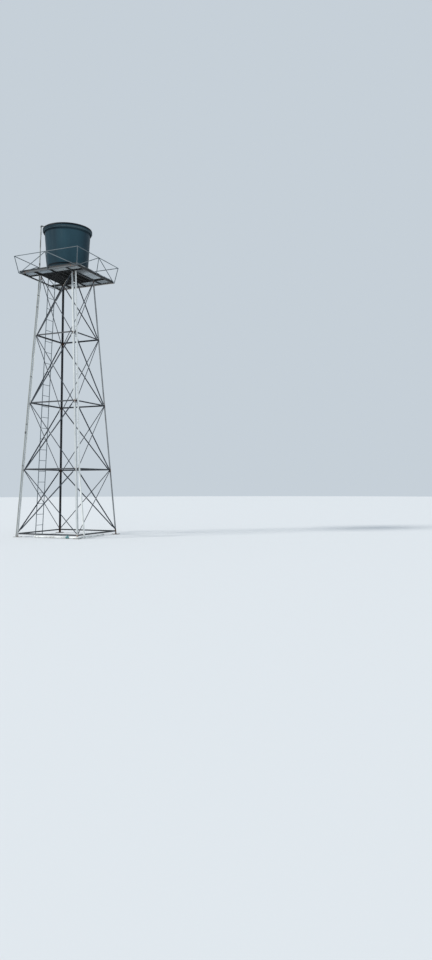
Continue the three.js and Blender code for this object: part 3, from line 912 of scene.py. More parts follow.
@dataclass(frozen=True)
class PipeFinish:
    """Hard pipe plastic that has yellowed, with dirt at its joints and algae near the ground."""

    name: str
    clean: Colour = (0.86, 0.88, 0.87)
    aged: Colour = (0.74, 0.76, 0.74)
    dirt: Colour = (0.14, 0.135, 0.12)
    dirt_level: float = 0.62
    roughness: float = 0.34
    stains: tuple[tuple[float, float], ...] = ()

    def make(self) -> Material:
        """Write the material.

        Returns:
            The material.
        """
        paint = Paint(self.name)
        height = paint.height()
        runs = paint.noise(1, 5, 0.65, paint.place((55, 55, 4)))
        patches = paint.noise(9, 7, 0.65)
        clouds = paint.noise(1.5, 4, 0.5)
        ground = (1 - height / 0.45).clamped()
        dirt = (patches * 0.6 + runs * 0.4 + ground * 0.16).above(self.dirt_level, 0.12)
        aged = paint.mix(clouds.above(0.35, 0.4), self.clean, self.aged)
        for level, reach in self.stains:
            dirt = dirt.most((height.near(level, reach) * 1.8).clamped())
        paint.bump(patches * 0.5 + dirt * 0.5, 0.0004, 0.5)
        return paint.surface(
            Base_Color=paint.mix(dirt * 0.75, aged, self.dirt),
            Roughness=(self.roughness + dirt * 0.4 + patches * 0.08).clamped(),
        )


@dataclass(frozen=True)
class WaterFinish:
    """Still, clear water over a dark floor."""

    name: str
    deep: Colour = (0.012, 0.03, 0.034)
    film: Colour = (0.05, 0.07, 0.06)

    def make(self) -> Material:
        """Write the material.

        Returns:
            The material.
        """
        paint = Paint(self.name)
        skin = paint.noise(3.5, 5, 0.6).above(0.55, 0.2)
        paint.bump(paint.noise(7, 3, 0.5), 0.003, 0.15)
        return paint.surface(
            Base_Color=paint.mix(skin * 0.5, self.deep, self.film),
            Roughness=(0.04 + skin * 0.12).clamped(),
            IOR=1.33,
        )


@dataclass(frozen=True)
class GroundFinish:
    """The plain pale floor of the studio."""

    name: str = "studio_floor"
    tone: Colour = (0.7, 0.72, 0.74)

    def make(self) -> Material:
        """Write a plain matt material."""
        return Paint(self.name).surface(Base_Color=self.tone, Roughness=0.9)


# Sections and fasteners


@dataclass(frozen=True)
class Angle:
    """A rolled steel angle, its heel on the Z axis and its flanges along +X and +Y.

    Its root, toes and heel are rounded by shares of its thickness.
    """

    width: float
    height: float
    thickness: float
    root: float = 0.9
    toe: float = 0.5
    heel: float = 0.16

    def bar(self, name: str, length: float, start: float = 0.0) -> Thing:
        """Model a bar of the section, with its root filled and its toes rounded.

        Args:
            name: Its name.
            length: Its length.
            start: The height of its first end.

        Returns:
            The bar.
        """
        t = self.thickness
        piece = blank(name, (0, 0, start), (self.width, t, start + length))
        with shaping(piece):
            slice_at((t, 0, 0), (1, 0, 0))
            pick(piece, Elements.FACES, facing(1, 1, lambda middle: middle.x < t))
            pull_out(0, self.height - t, 0)
            bevel(piece, line_at(2, x=t, y=t), t * self.root, 3)
            toes = (line_at(2, x=self.width, y=t), line_at(2, x=t, y=self.height))
            bevel(piece, lambda e: any(toe(e) for toe in toes), t * self.toe)
            backs = (line_at(2, x=0, y=0), line_at(2, x=self.width, y=0), line_at(2, x=0, y=self.height))
            bevel(piece, lambda e: any(back(e) for back in backs), t * self.heel, 1)
        return piece

    def member(self, name: str, heel: Point, one: Point, two: Point, half: float) -> Thing:
        """Model a level bar of the section, by its heel and the ways that its flanges go.

        Args:
            name: Its name.
            heel: The middle of its heel.
            one: The way of the flange that lies along +X.
            two: The way of the flange that lies along +Y.
            half: Half its length.

        Returns:
            The bar.
        """
        x, y = Vector(one), Vector(two)
        frame = Matrix((x, y, x.cross(y))).transposed().to_4x4()
        return placed(self.bar(name, 2 * half, -half), Matrix.Translation(Vector(heel)) @ frame)


@dataclass(frozen=True)
class Bolt:
    """A hexagon bolt through steel: its head on +Z, its nut at the far end of its grip.

    The radii of hexagon and washer, and the heights of head, nut and tail, are shares of its size.
    """

    size: float = 0.01
    grip: float = 0.009
    washer: float = 0.002
    hexagon: float = 0.92
    disc: float = 1.08
    head: float = 0.64
    nut: float = 0.8
    tail: float = 1.15

    def _hexagon(self, name: str, low: float, height: float) -> Thing:
        """Model a hexagon with its free edges eased.

        Args:
            name: Its name.
            low: The height of its underside.
            height: How high it is.

        Returns:
            The hexagon.
        """
        piece = cylinder(name, 6, self.size * self.hexagon, height, (0, 0, low + height / 2))
        free = low + height if low > 0 else low
        with shaping(piece):
            bevel(piece, in_planes(2, free), self.size * 0.1, 1)
        return piece

    def _washer(self, name: str, low: float) -> Thing:
        """Turn a washer with an eased rim.

        Args:
            name: Its name.
            low: The height of its underside.

        Returns:
            The washer.
        """
        outer, top, ease = self.size * self.disc, low + self.washer, self.size * 0.04
        outline = [(0, low), (outer, low), (outer, top - ease), (outer - ease, top), (0, top)]
        return turned(name, outline, FEW)

    def model(self, name: str, nut: bool = True) -> Thing:
        """Model the bolt, standing at the origin with its washer on the surface.

        Args:
            name: Its name.
            nut: Whether it has its nut, or goes into something.

        Returns:
            The bolt.
        """
        parts = [self._washer(name, 0), self._hexagon("head", self.washer, self.size * self.head)]
        if nut:
            under = -self.grip
            high = self.size * self.nut
            parts.append(self._washer("under", under - self.washer))
            parts.append(self._hexagon("nut", under - self.washer - high, high))
            tip = under - self.washer - self.size * self.tail
            parts.append(rod("shank", (0, 0, tip), (0, 0, under), self.size * 0.5, 10))
        return gather(name, parts)


def bead(name: str, length: float, radius: float) -> Thing:
    """Model a rippled weld bead along +X, half sunk in what it joins.

    Args:
        name: Its name.
        length: Its length.
        radius: Its radius at the ripples.

    Returns:
        The bead.
    """
    ripples = max(3, round(length / (radius * 1.5)))
    outline = [(0, 0), (radius * 0.7, 0)]
    for i in range(ripples):
        outline.append((radius, length * (i + 0.5) / ripples))
        outline.append((radius * 0.78, length * (i + 1) / ripples))
    outline.append((0, length))
    return placed(turned(name, outline, 8), Matrix.Rotation(math.pi / 2, 4, "Y"))


def bead_places(runs: Iterable[tuple[Point, Point]]) -> list[Matrix]:
    """Give the places of beads of unit length from one point to another.

    Args:
        runs: Each bead's two ends.

    Returns:
        A matrix for each bead.
    """
    places = []
    for start, end in runs:
        reach = Vector(end) - Vector(start)
        turn = reach.to_track_quat("X", "Z").to_matrix().to_4x4()
        places.append(Matrix.Translation(Vector(start)) @ turn @ Matrix.Diagonal((reach.length, 1, 1, 1)))
    return places


def collar_ring(name: str, bore: float, radius: float, depth: float) -> Thing:
    """Turn a low fillet of weld round a bar that stands on the origin."""
    outline = [(bore, 0), (radius, 0), (radius * 0.93, depth * 0.35), (bore * 1.05, depth), (bore, depth)]
    return turned(name, [*outline, (bore, 0)], FEW)


# The lattice


@dataclass
class Legs:
    """Four legs of steel angle, each on a square foot plate with anchor nuts."""

    section: Angle = Angle(0.05, 0.05, 0.005)
    plate: float = 0.2
    plate_thickness: float = 0.008
    plate_inset: float = 0.015
    plate_corner: float = 0.006
    plate_ease: float = 0.0012
    anchor: float = 0.014
    anchor_reach: float = 0.07
    bead_radius: float = 0.0035

    def _plate(self, corner: Corner) -> Thing:
        """Model a foot plate with its corners clipped and its rims eased.

        Args:
            corner: Which leg's.

        Returns:
            The plate.
        """
        centre = TOWER.face_at(0) - self.plate_inset
        x, y = (sign * centre for sign in corner.value)
        half = self.plate / 2
        piece = blank("plate", (x - half, y - half, 0), (x + half, y + half, self.plate_thickness))
        with shaping(piece):
            bevel(piece, spans(2), self.plate_corner)
            bevel(piece, in_planes(2, self.plate_thickness), self.plate_ease, 1)
        return piece

    def _foot_welds(self, corner: Corner) -> list[Matrix]:
        """Give the beads that join a leg to its plate.

        Args:
            corner: Which leg.

        Returns:
            The place of each bead.
        """
        width, t = self.section.width, self.section.thickness
        heel, along, across = (0, 0, 0), (width, 0, 0), (0, width, 0)
        runs = [(heel, along), (heel, across), ((t, t, 0), (width, t, 0)), ((t, t, 0), (t, width, 0))]
        frame = TOWER.corner_frame(corner) @ Matrix.Translation((0, 0, self.plate_thickness))
        return bead_places([(frame @ Vector(a), frame @ Vector(b)) for a, b in runs])

    def build(self, paints: Mapping[Corner, Material], zinc: Material) -> None:
        """Build the legs, their plates, welds and anchor nuts.

        Args:
            paints: Each leg's finish.
            zinc: The nuts' finish.
        """
        welds: list[Matrix] = []
        nuts: list[Matrix] = []
        for corner in Corner:
            name = f"leg_{corner.name.lower()}"
            start = self.plate_thickness
            bar = self.section.bar("bar", TOWER.leg_top - start, start)
            placed(bar, TOWER.corner_frame(corner))
            fit(gather(f"{name}_post", [bar, self._plate(corner)]), paints[corner], "leg_steel", name)
            welds += self._foot_welds(corner)
            centre = TOWER.face_at(0) - self.plate_inset
            for dx, dy in ((1, 1), (1, -1), (-1, 1), (-1, -1)):
                x = corner.value[0] * centre + dx * self.anchor_reach
                y = corner.value[1] * centre + dy * self.anchor_reach
                nuts.append(Matrix.Translation((x, y, self.plate_thickness)))
        pattern = bead("bead", 1.0, self.bead_radius)
        fit(repeated("foot_welds", pattern, welds), paints[Corner.BACK_LEFT], "leg_steel")
        nut = Bolt(self.anchor).model("anchor", nut=False)
        fit(repeated("anchor_bolts", nut, nuts), zinc, "frame_steel")


@dataclass
class Rings:
    """Horizontal rings of angle inside the legs' flanges; the braces' bolts hold all but the lowest."""

    section: Angle = Angle(0.04, 0.04, 0.004)
    bolt_reach: float = 0.026
    bolt_drop: float = 0.004

    def _ring(self, name: str, z: float) -> Thing:
        """Model one ring from four mitred bars.

        Args:
            name: Its name.
            z: The height of its middle.

        Returns:
            The ring.
        """
        high = z + self.section.height / 2
        seat = TOWER.seat_at(high)
        lean = TOWER.batter
        bars = []
        for side in Side:
            bar = self.section.bar("bar", 2 * seat + 2 * PAST, -seat - PAST)
            with shaping(bar):
                slice_at((0, 0, seat), (1, -lean, 1), clear=True)
                slice_at((0, 0, -seat), (1, -lean, -1), clear=True)
            # the flanges go inwards and down the slope, and the bar's length runs along the side
            frame = Matrix(((0, 0, -1, 0), (1, -lean, 0, -seat), (0, -1, 0, high), (0, 0, 0, 1)))
            bars.append(placed(bar, Matrix.Rotation(side.value, 4, "Z") @ frame))
        return gather(name, bars)

    def build(self, steel: Material, zinc: Material) -> None:
        """Build the rings and the bolts that hold the lowest to the legs.

        Args:
            steel: The rings' finish.
            zinc: The bolts' finish.
        """
        for name, z in zip(TOWER.level_names, TOWER.levels):
            fit(self._ring(f"ring_{name}_frame", z), steel, "frame_steel", f"ring_{name}")
        base = TOWER.levels[0]
        reach = TOWER.face_at(base) - self.bolt_reach
        height = TOWER.up_face(base - self.bolt_drop)
        places = [TOWER.side_frame(side) @ Matrix.Translation((u, height, 0))
                  for side in Side for u in (-reach, reach)]
        bolt = Bolt(0.01, grip=TOWER.flange + TOUCH + self.section.thickness)
        fit(repeated("ring_bolts", bolt.model("ring_bolt"), places), zinc, "frame_steel")


@dataclass
class Braces:
    """Crossed thin angles outside the legs, one flat on them and one over it on packings."""

    width: float = 0.025
    thickness: float = 0.003
    trim: float = 0.122
    cope: float = 0.024
    cope_slope: float = 0.014
    end_round: float = 0.004
    foot_z: float = 0.146
    drop: float = 0.06
    head_z: float = 7.685
    end_inset: float = 0.0295
    bolt_in: float = 0.007
    packing: float = 0.0055
    ring_thickness: float = 0.004

    @property
    def layer(self) -> float:
        """Give how far a bar's outer side lies beyond what it lies on."""
        return TOUCH + self.thickness

    def _bar(self, name: str, length: float, crossing: float) -> Thing:
        """Model one bar along +X: a flat with a rib under its edge, coped at its ends and crossing.

        Args:
            name: Its name.
            length: Its length.
            crossing: How far along it the other bar crosses.

        Returns:
            The bar.
        """
        half, t = self.width / 2, self.thickness
        cuts = (self.trim, crossing - self.cope, crossing + self.cope, length - self.trim)
        piece = blank(name, (0, -half, -t), (length, half, 0))

        def on_rib(x: float) -> bool:
            """Say whether the bar has its rib at a length."""
            return cuts[0] < x < cuts[1] or cuts[2] < x < cuts[3]

        with shaping(piece):
            slice_at((0, t - half, 0), (0, 1, 0))
            for x in cuts:
                slice_at((x, 0, 0), (1, 0, 0))
            pick(piece, Elements.FACES, facing(2, -1, lambda c: c.y < t - half and on_rib(c.x)))
            pull_out(0, 0, t - self.width)
            for x, sign in zip(cuts, (1, -1, 1, -1)):
                pick(piece, Elements.VERTS,
                     lambda v, x=x: v.co.z < NEAR - self.width and abs(v.co.x - x) < NEAR)
                push(sign * self.cope_slope, 0, 0)
            root = line_at(0, y=t - half, z=-t)
            bevel(piece, lambda e: root(e) and on_rib((e.verts[0].co.x + e.verts[1].co.x) / 2), t * 0.6)
            bevel(piece, lambda e: spans(2, t - NEAR)(e) and in_planes(0, 0, length)(e), self.end_round)
        return piece

    def _packings(self, length: float) -> list[Thing]:
        """Turn the packings under a bar's bolts, which fill the depth of the bar below.

        Args:
            length: The bar's length.

        Returns:
            The packings.
        """
        top, low = -self.thickness, -self.thickness - self.layer
        outline = [(0, low), (self.packing, low), (self.packing, top), (0, top)]
        ends = (self.bolt_in, length - self.bolt_in)
        return [placed(turned("packing", outline, FEW), Matrix.Translation((x, 0, 0))) for x in ends]

    def build(self, steel: Material, zinc: Material) -> None:
        """Build the bracing of every bay on every side, and its bolts.

        Args:
            steel: The braces' finish.
            zinc: The bolts' finish.
        """
        levels = TOWER.levels
        lows = (self.foot_z, *(z - self.drop for z in levels[1:]))
        highs = (*levels[1:], self.head_z)
        bolts: dict[float, list[Matrix]] = {}
        for bay, (low, high) in enumerate(zip(lows, highs), 1):
            foot = Vector((TOWER.face_at(low) - self.end_inset, TOWER.up_face(low)))
            head = Vector((TOWER.face_at(high) - self.end_inset, TOWER.up_face(high)))
            length = math.hypot(foot.x + head.x, head.y - foot.y)
            middle = length * foot.x / (foot.x + head.x)
            rise = math.atan2(head.y - foot.y, foot.x + head.x)
            rising = Matrix.Translation((-foot.x, foot.y, self.layer)) @ Matrix.Rotation(rise, 4, "Z")
            falling = Matrix.Translation((-head.x, head.y, 2 * self.layer)) @ Matrix.Rotation(-rise, 4, "Z")
            over = gather("falling", [self._bar("bar", length, length - middle), *self._packings(length)])
            under = placed(self._bar("rising", length, middle), rising)
            pair = gather("pair", [under, placed(over, falling)])
            ring = TOUCH + self.ring_thickness if high in levels else 0.0
            low_end, high_end = self.bolt_in, length - self.bolt_in
            grips = [
                (rising, low_end, self.layer + TOWER.flange),
                (rising, high_end, self.layer + TOWER.flange + ring),
                (falling, low_end, 2 * self.layer + TOWER.flange + ring),
                (falling, high_end, 2 * self.layer + TOWER.flange),
                (falling, length - middle, 2 * self.layer - TOUCH),
            ]
            for side in Side:
                frame = TOWER.side_frame(side)
                name = f"brace_{side.name.lower()}_{bay}"
                fit(copied(f"{name}_cross", pair, frame), steel, "brace_steel", name)
                for bar, x, grip in grips:
                    bolts.setdefault(grip, []).append(frame @ bar @ Matrix.Translation((x, 0, 0)))
            discard(pair)
        sets = [repeated("set", Bolt(0.01, grip).model("bolt"), places) for grip, places in bolts.items()]
        fit(gather("brace_bolts", sets), zinc, "brace_steel")


@dataclass
class PlatformSteel:
    """Main beams capped over the legs, joists notched over them, an edge angle and a thin tie."""

    half: float = 0.9925
    joist_z: float = 7.7006
    beam_width: float = 0.06
    beam_thickness: float = 0.005
    joist_depth: float = 0.05
    joist_width: float = 0.04
    joist_thickness: float = 0.005
    edge_width: float = 0.05
    long_joists: Series = (-0.546, 0.0, 0.546)
    short_joists: Series = (-0.364, -0.182, 0.182, 0.364)
    tie_width: float = 0.02
    tie_thickness: float = 0.003
    tie_trim: float = 0.02
    bead_radius: float = 0.003
    bolt_insets: Series = (0.014, 0.036)
    bolt_lift: float = 0.02
    bolt_grip: float = 0.0115

    @property
    def plank_z(self) -> float:
        """Give the height of the planks' undersides."""
        return self.joist_z + self.joist_depth + TOUCH

    @property
    def flange_z(self) -> float:
        """Give the height of the undersides of the joists' flanges."""
        return self.joist_z + self.joist_depth - self.joist_thickness

    @property
    def beam_top(self) -> float:
        """Give the height of the main beams' tops, just under the joists' flanges."""
        return self.flange_z - TOUCH

    @property
    def beam_face(self) -> float:
        """Give the distance from the axis to a main beam's outer face."""
        return TOWER.face_at(self.joist_z) + TOUCH + self.beam_thickness

    @property
    def reach(self) -> float:
        """Give how far a member reaches to stop inside the edge angles."""
        return self.half - self.joist_thickness - TOUCH

    def _main_beam(self, name: str, sign: int) -> Thing:
        """Model a main beam, with its web cut short at the ends to rest on the edge angles.

        Args:
            name: Its name.
            sign: -1 for the left one, 1 for the right one.

        Returns:
            The beam.
        """
        section = Angle(self.beam_width, self.beam_top - self.joist_z, self.beam_thickness)
        heel = (sign * self.beam_face, 0, self.beam_top)
        beam = section.member(name, heel, (-sign, 0, 0), (0, 0, -1), self.reach)
        rest = self.half - self.edge_width - TOUCH
        for end in (-1, 1):
            near, far = sorted((end * rest, end * self.half))
            low = (sign * self.half - 1, near, self.joist_z - PAST)
            high = (sign * self.half + 1, far, self.joist_z + self.joist_thickness + TOUCH)
            carve(beam, blank("cutter", low, high))
        return beam

    def _build_beams(self, steel: Material, pale: Material, light: Material) -> None:
        """Build the main beams and the edge angles, of which the side ones are paler.

        Args:
            steel: The others' finish.
            pale: The left angle's finish.
            light: The right angle's finish.
        """
        low = self.joist_z - TOUCH - self.joist_thickness
        tall = Angle(self.edge_width, self.joist_z + self.joist_depth - low, self.joist_thickness)
        short = Angle(self.joist_depth, self.edge_width, self.joist_thickness)
        for name, sign in (("left", -1), ("right", 1)):
            beam = self._main_beam(f"main_beam_{name}_angle", sign)
            fit(beam, steel, "platform_steel", f"main_beam_{name}")
            heel = (sign * self.half, 0, low)
            edge = tall.member(f"edge_beam_{name}_angle", heel, (-sign, 0, 0), (0, 0, 1), self.half)
            fit(edge, pale if sign < 0 else light, "platform_steel", f"edge_beam_{name}")
        for name, sign in (("front", -1), ("back", 1)):
            heel = (0, sign * self.half, self.joist_z)
            edge = short.member(f"edge_beam_{name}_angle", heel, (0, 0, 1), (0, -sign, 0), self.reach)
            fit(edge, steel, "platform_steel", f"edge_beam_{name}")

    def _notch(self, sign: int, y: float) -> Thing:
        """Model what is cut from a joist for a main beam: a slot for web and leg, and the flange's bed.

        Args:
            sign: -1 for the left beam, 1 for the right one.
            y: The joist's place.

        Returns:
            The cutter.
        """
        slot = TOWER.face_at(TOWER.leg_top) - TOWER.flange - TOUCH
        far = self.beam_face + TOUCH
        wide = self.joist_width * 2
        under = self.beam_top - self.beam_thickness - TOUCH
        ends = sorted((sign * (self.beam_face - self.beam_width - TOUCH), sign * far))
        cutter = blank("cutter", (ends[0], y - wide, under), (ends[1], y + wide, self.flange_z))
        with shaping(cutter):
            slice_at((sign * slot, 0, 0), (1, 0, 0))
            pick(cutter, Elements.FACES, facing(2, -1, lambda middle: sign * middle.x > slot))
            pull_out(0, 0, self.joist_z - PAST - under)
        return cutter

    def _build_joists(self, steel: Material, pale: Material) -> None:
        """Build the joists, of which the front one is paler, and the welds of their webs to the beams.

        Args:
            steel: The joists' finish.
            pale: The front joist's finish.
        """
        plan = [(y, self.reach) for y in self.long_joists]
        plan += [(y, self.beam_face) for y in self.short_joists]
        runs = []
        top = self.joist_z + self.joist_depth
        for number, (y, reach) in enumerate(sorted(plan), 1):
            inward = -1 if y > 0 else 1
            name = f"joist_{number}_angle"
            # a joist behind the middle is turned over, so its two flanges change places
            size = (self.joist_width, self.joist_depth)[::inward]
            ways = ((0, inward, 0), (0, 0, -1))[::inward]
            bar = Angle(*size, self.joist_thickness).member(name, (0, y, top), *ways, reach)
            for sign in (-1, 1):
                carve(bar, self._notch(sign, y))
                x = sign * (self.beam_face - self.beam_width - TOUCH / 2)
                edge = (y, y + inward * self.joist_width)
                runs.append(((x, edge[0], self.beam_top - TOUCH), (x, edge[1], self.beam_top - TOUCH)))
            fit(bar, pale if number == 1 else steel, "platform_steel", f"joist_{number}")
        pattern = bead("bead", 1.0, self.bead_radius)
        fit(repeated("joist_welds", pattern, bead_places(runs)), steel, "platform_steel")

    def _build_tie(self, steel: Material) -> None:
        """Build the tie from the front left leg to the back right one.

        Args:
            steel: Its finish.
        """
        half, t, top = self.tie_width / 2, self.tie_thickness, self.joist_z - TOUCH
        inside = TOWER.face_at(top) - TOWER.flange - TOUCH
        reach = inside * math.sqrt(2) - half
        tie = blank("platform_tie_bar", (-reach, -half, top - t), (reach, half, top))
        with shaping(tie):
            for y in (-t / 2, t / 2):
                slice_at((0, y, 0), (0, 1, 0))
            pick(tie, Elements.FACES, facing(2, -1, lambda middle: abs(middle.y) < t / 2))
            pull_out(0, 0, t - self.tie_width)
            for sign in (-1, 1):
                pick(tie, Elements.VERTS,
                     lambda v, s=sign: v.co.z < top - half and s * v.co.x > reach - NEAR)
                push(-sign * self.tie_trim, 0, 0)
            bevel(tie, lambda e: spans(0, reach)(e) and in_planes(1, -half, half)(e), t * 0.3, 1)
        fit(placed(tie, Matrix.Rotation(math.pi / 4, 4, "Z")), steel, "brace_steel", "platform_tie")

    def _build_bolts(self, zinc: Material) -> None:
        """Bolt each main beam to its legs.

        Args:
            zinc: The bolts' finish.
        """
        places = []
        for corner in Corner:
            sx, sy = corner.value
            for inset in self.bolt_insets:
                y = sy * (TOWER.face_at(self.joist_z) - inset)
                places.append(upright((sx * self.beam_face, y, self.joist_z + self.bolt_lift), (sx, 0, 0)))
        bolt = Bolt(0.01, self.bolt_grip)
        fit(repeated("beam_bolts", bolt.model("beam_bolt"), places), zinc, "platform_steel")

    def build(
        self, steel: Material, pale: Material, light: Material, tie_steel: Material, zinc: Material
    ) -> None:
        """Build all the steel of the platform.

        Args:
            steel: The finish of the beams and joists.
            pale: The finish of the left edge angle and the front joist.
            light: The finish of the right edge angle.
            tie_steel: The finish of the thin tie.
            zinc: The bolts' finish.
        """
        self._build_beams(steel, pale, light)
        self._build_joists(steel, pale)
        self._build_tie(tie_steel)
        self._build_bolts(zinc)


PLATFORM = PlatformSteel()


# Planks


@dataclass(frozen=True)
class Strip:
    """A row of planks side by side that run along Y."""

    node: str
    west: float
    east: float
    count: int
    gap: float
    breaks: Series
    tones: Series
    tints: Series
    nails: Series
    ragged: float = 0.006
    shades: Series = (1.0,)


@dataclass
class Planks:
    """Loose planks on the joists, each cut, worn and nailed a little differently."""

    end_gap: float = 0.008
    thickness: float = 0.025
    ease: float = 0.0025
    wander: float = 0.0009
    inner: float = 0.555
    walkway: float = 0.56
    hatch: float = 0.604
    tank_foot: float = 0.62
    cut_pitch: float = 0.16
    drill_reach: tuple[float, float] = (-0.02, 0.05)
    nail_inset: float = 0.022
    nail_drift: float = 0.004
    seed: int = 7

    @property
    def strips(self) -> tuple[Strip, ...]:
        """Give the four rows: two side walkways, the front walkway and the deck under the tank.

        Returns:
            The rows.
        """
        half = PLATFORM.half
        long_nails = (-0.97, -0.53, 0.015, 0.53, 0.97)
        return (
            Strip("deck_left", -half, -self.walkway, 4, 0.017, (-half, 0.0, half), (0.62, 0.7), (0.2, 0.9),
                  long_nails, shades=(0.9, 0.75, 1.0, 1.15)),
            Strip("deck_right", self.walkway, half, 4, 0.017, (-half, 0.0, half), (0.9, 1.15), (0.6, 0.0),
                  long_nails, shades=(0.75, 1.0, 0.8, 1.1)),
            Strip("deck_front", -self.inner, self.inner, 9, 0.014, (-half, -self.walkway), (0.75,), (0.4,),
                  (-0.97, -0.575), shades=(0.25, 0.35, 0.45, 0.8, 1.2, 1.1, 1.2, 1.6, 1.6)),
            # The deck under the tank has a tone near zero, which darkens it almost to black: partly dirt,
            # partly painted shade
            Strip("deck_centre", -self.inner, self.inner, 10, 0.009, (-self.inner, self.hatch),
                  (0.02,), (0.0,), (-0.53, -0.35, -0.165, 0.015, 0.165, 0.35, 0.53), 0.02),
        )

    def _plank(self, chance: random.Random, ends: Sequence[float], ragged: float) -> Thing:
        """Model one plank from a cube, cut along its length and jogged a little.

        Args:
            chance: The seeded draws.
            ends: Where it ends in the west, east, south and north.
            ragged: How much shorter it may be at an end.

        Returns:
            The plank.
        """
        west, east, south, north = ends
        low = PLATFORM.plank_z + self.wander / 2
        high = PLATFORM.plank_z + self.thickness - self.wander
        south += chance.random() * ragged
        north -= chance.random() * ragged
        piece = blank("plank", (west, south, low), (east, north, high))
        cuts = max(2, round((north - south) / self.cut_pitch))
        with shaping(piece):
            for i in range(1, cuts):
                slice_at((0, south + (north - south) * i / cuts, 0), (0, 1, 0))
            slice_at(((west + east) / 2, 0, 0), (1, 0, 0))
            bevel(piece, lambda e: in_planes(0, west, east)(e) and spans(1)(e), self.ease)
            bpy.ops.mesh.select_all(action="SELECT")
            seed = chance.randint(1, 9999)
            bpy.ops.transform.vertex_random(offset=self.wander, uniform=0, normal=0, seed=seed)
        return piece

    def _mark(self, piece: Thing, name: str, value: float) -> None:
        """Give every point of a plank a number that its finish reads."""
        marks = piece.data.attributes.new(name, "FLOAT", "POINT")
        marks.data.foreach_set("value", [value] * len(piece.data.vertices))

    def _drill(self, piece: Thing, x: float, y: float, radius: float) -> None:
        """Cut a round hole for a pipe through a row of planks."""
        low, high = (PLATFORM.plank_z + reach for reach in self.drill_reach)
        carve(piece, rod("cutter", (x, y, low), (x, y, high), radius, 24))

    def _row(self, strip: Strip, chance: random.Random, nails: list[Matrix]) -> list[Thing]:
        """Model the planks of one row, and add the places of their nails.

        Args:
            strip: The row.
            chance: The seeded draws.
            nails: The places so far.

        Returns:
            The planks.
        """
        planks = []
        top = PLATFORM.plank_z + self.thickness - self.wander
        pitch = (strip.east - strip.west + strip.gap) / strip.count
        for i in range(strip.count):
            west = strip.west + i * pitch
            east = west + pitch - strip.gap
            lengths = zip(strip.breaks, strip.breaks[1:])
            for (south, north), tone, tint in zip(lengths, strip.tones, strip.tints):
                inner_south = south + (self.end_gap / 2 if south > strip.breaks[0] else 0)
                inner_north = north - (self.end_gap / 2 if north < strip.breaks[-1] else 0)
                plank = self._plank(chance, (west, east, inner_south, inner_north), strip.ragged)
                self._mark(plank, "board", chance.random())
                shade = tone * strip.shades[i % len(strip.shades)]
                self._mark(plank, "tone", shade * (0.85 + 0.15 * chance.random()))
                self._mark(plank, "tint", tint * (0.8 + 0.2 * chance.random()))
                planks.append(plank)
            for y in strip.nails:
                for x in (west + self.nail_inset, east - self.nail_inset):
                    if math.hypot(x, y) > self.tank_foot:
                        drift = chance.uniform(-self.nail_drift, self.nail_drift)
                        nails.append(Matrix.Translation((x + drift, y, top)))
        return planks

    def build(self, wood: Material, zinc: Material, holes: Mapping[str, tuple[Point, float]]) -> None:
        """Build every row of planks and its nails.

        Args:
            wood: The planks' finish.
            zinc: The nails' finish.
            holes: The pipes' places and their holes' radii, by row.
        """
        chance = random.Random(self.seed)
        nails: list[Matrix] = []
        for strip in self.strips:
            row = gather(f"{strip.node}_planks", self._row(strip, chance, nails))
            if strip.node in holes:
                (x, y), radius = holes[strip.node]
                self._drill(row, x, y, radius)
            fit(row, wood, "planks", strip.node)
        outline = [(0, -0.001), (0.0042, -0.001), (0.0042, 0.0006), (0.003, 0.0012), (0, 0.0014)]
        fit(repeated("plank_nails", turned("nail", outline, 8), nails), zinc, "planks")


# Rail and ladder


@dataclass
class GuardRails:
    """A leaning rail of round bar on each side: corner post, middle post, top rail and two braces."""

    radius: float = 0.011
    foot: float = 1.004
    top: float = 1.092
    foot_z: float = 7.705
    top_z: float = 8.186
    brace_set: float = 0.028
    rail_gap: float = 0.002
    weld_share: float = 1.45
    weld_height: float = 0.008
    weld_rise: float = 0.012

    def _panel(self) -> Thing:
        """Model the front panel with its welds.

        Returns:
            The panel.
        """
        top, foot = self.top, self.foot
        head = (0, -top, self.top_z)
        edge = foot - self.brace_set
        following = self.radius * 2 + self.rail_gap
        runs = (
            ((foot, -foot, self.foot_z), (top, -top, self.top_z)),
            ((following - top, -top, self.top_z), (top + self.radius, -top, self.top_z)),
            ((0, -foot, self.foot_z), head),
            ((edge, -foot, self.foot_z), head),
            ((-edge, -foot, self.foot_z), head),
        )
        parts = [rod("bar", start, end, self.radius) for start, end in runs]
        spots = []
        for i in (0, 2, 3, 4):
            start, end = Vector(runs[i][0]), Vector(runs[i][1])
            way = (end - start).normalized()
            spots.append(upright(start + way * self.weld_rise, way))
            spots.append(upright(end - way * self.radius * (1.2 if i < 3 else 2.6), -way))
        ring = collar_ring("ring", self.radius * 0.9, self.radius * self.weld_share, self.weld_height)
        return gather("panel", [*parts, repeated("welds", ring, spots)])

    def build(self, steel: Material) -> None:
        """Build the rail on every side.

        Args:
            steel: Its finish.
        """
        panel = self._panel()
        for side in Side:
            name = f"guard_rail_{side.name.lower()}"
            rail = copied(f"{name}_bars", panel, Matrix.Rotation(side.value, 4, "Z"))
            fit(rail, steel, "rail_steel", name)
        discard(panel)


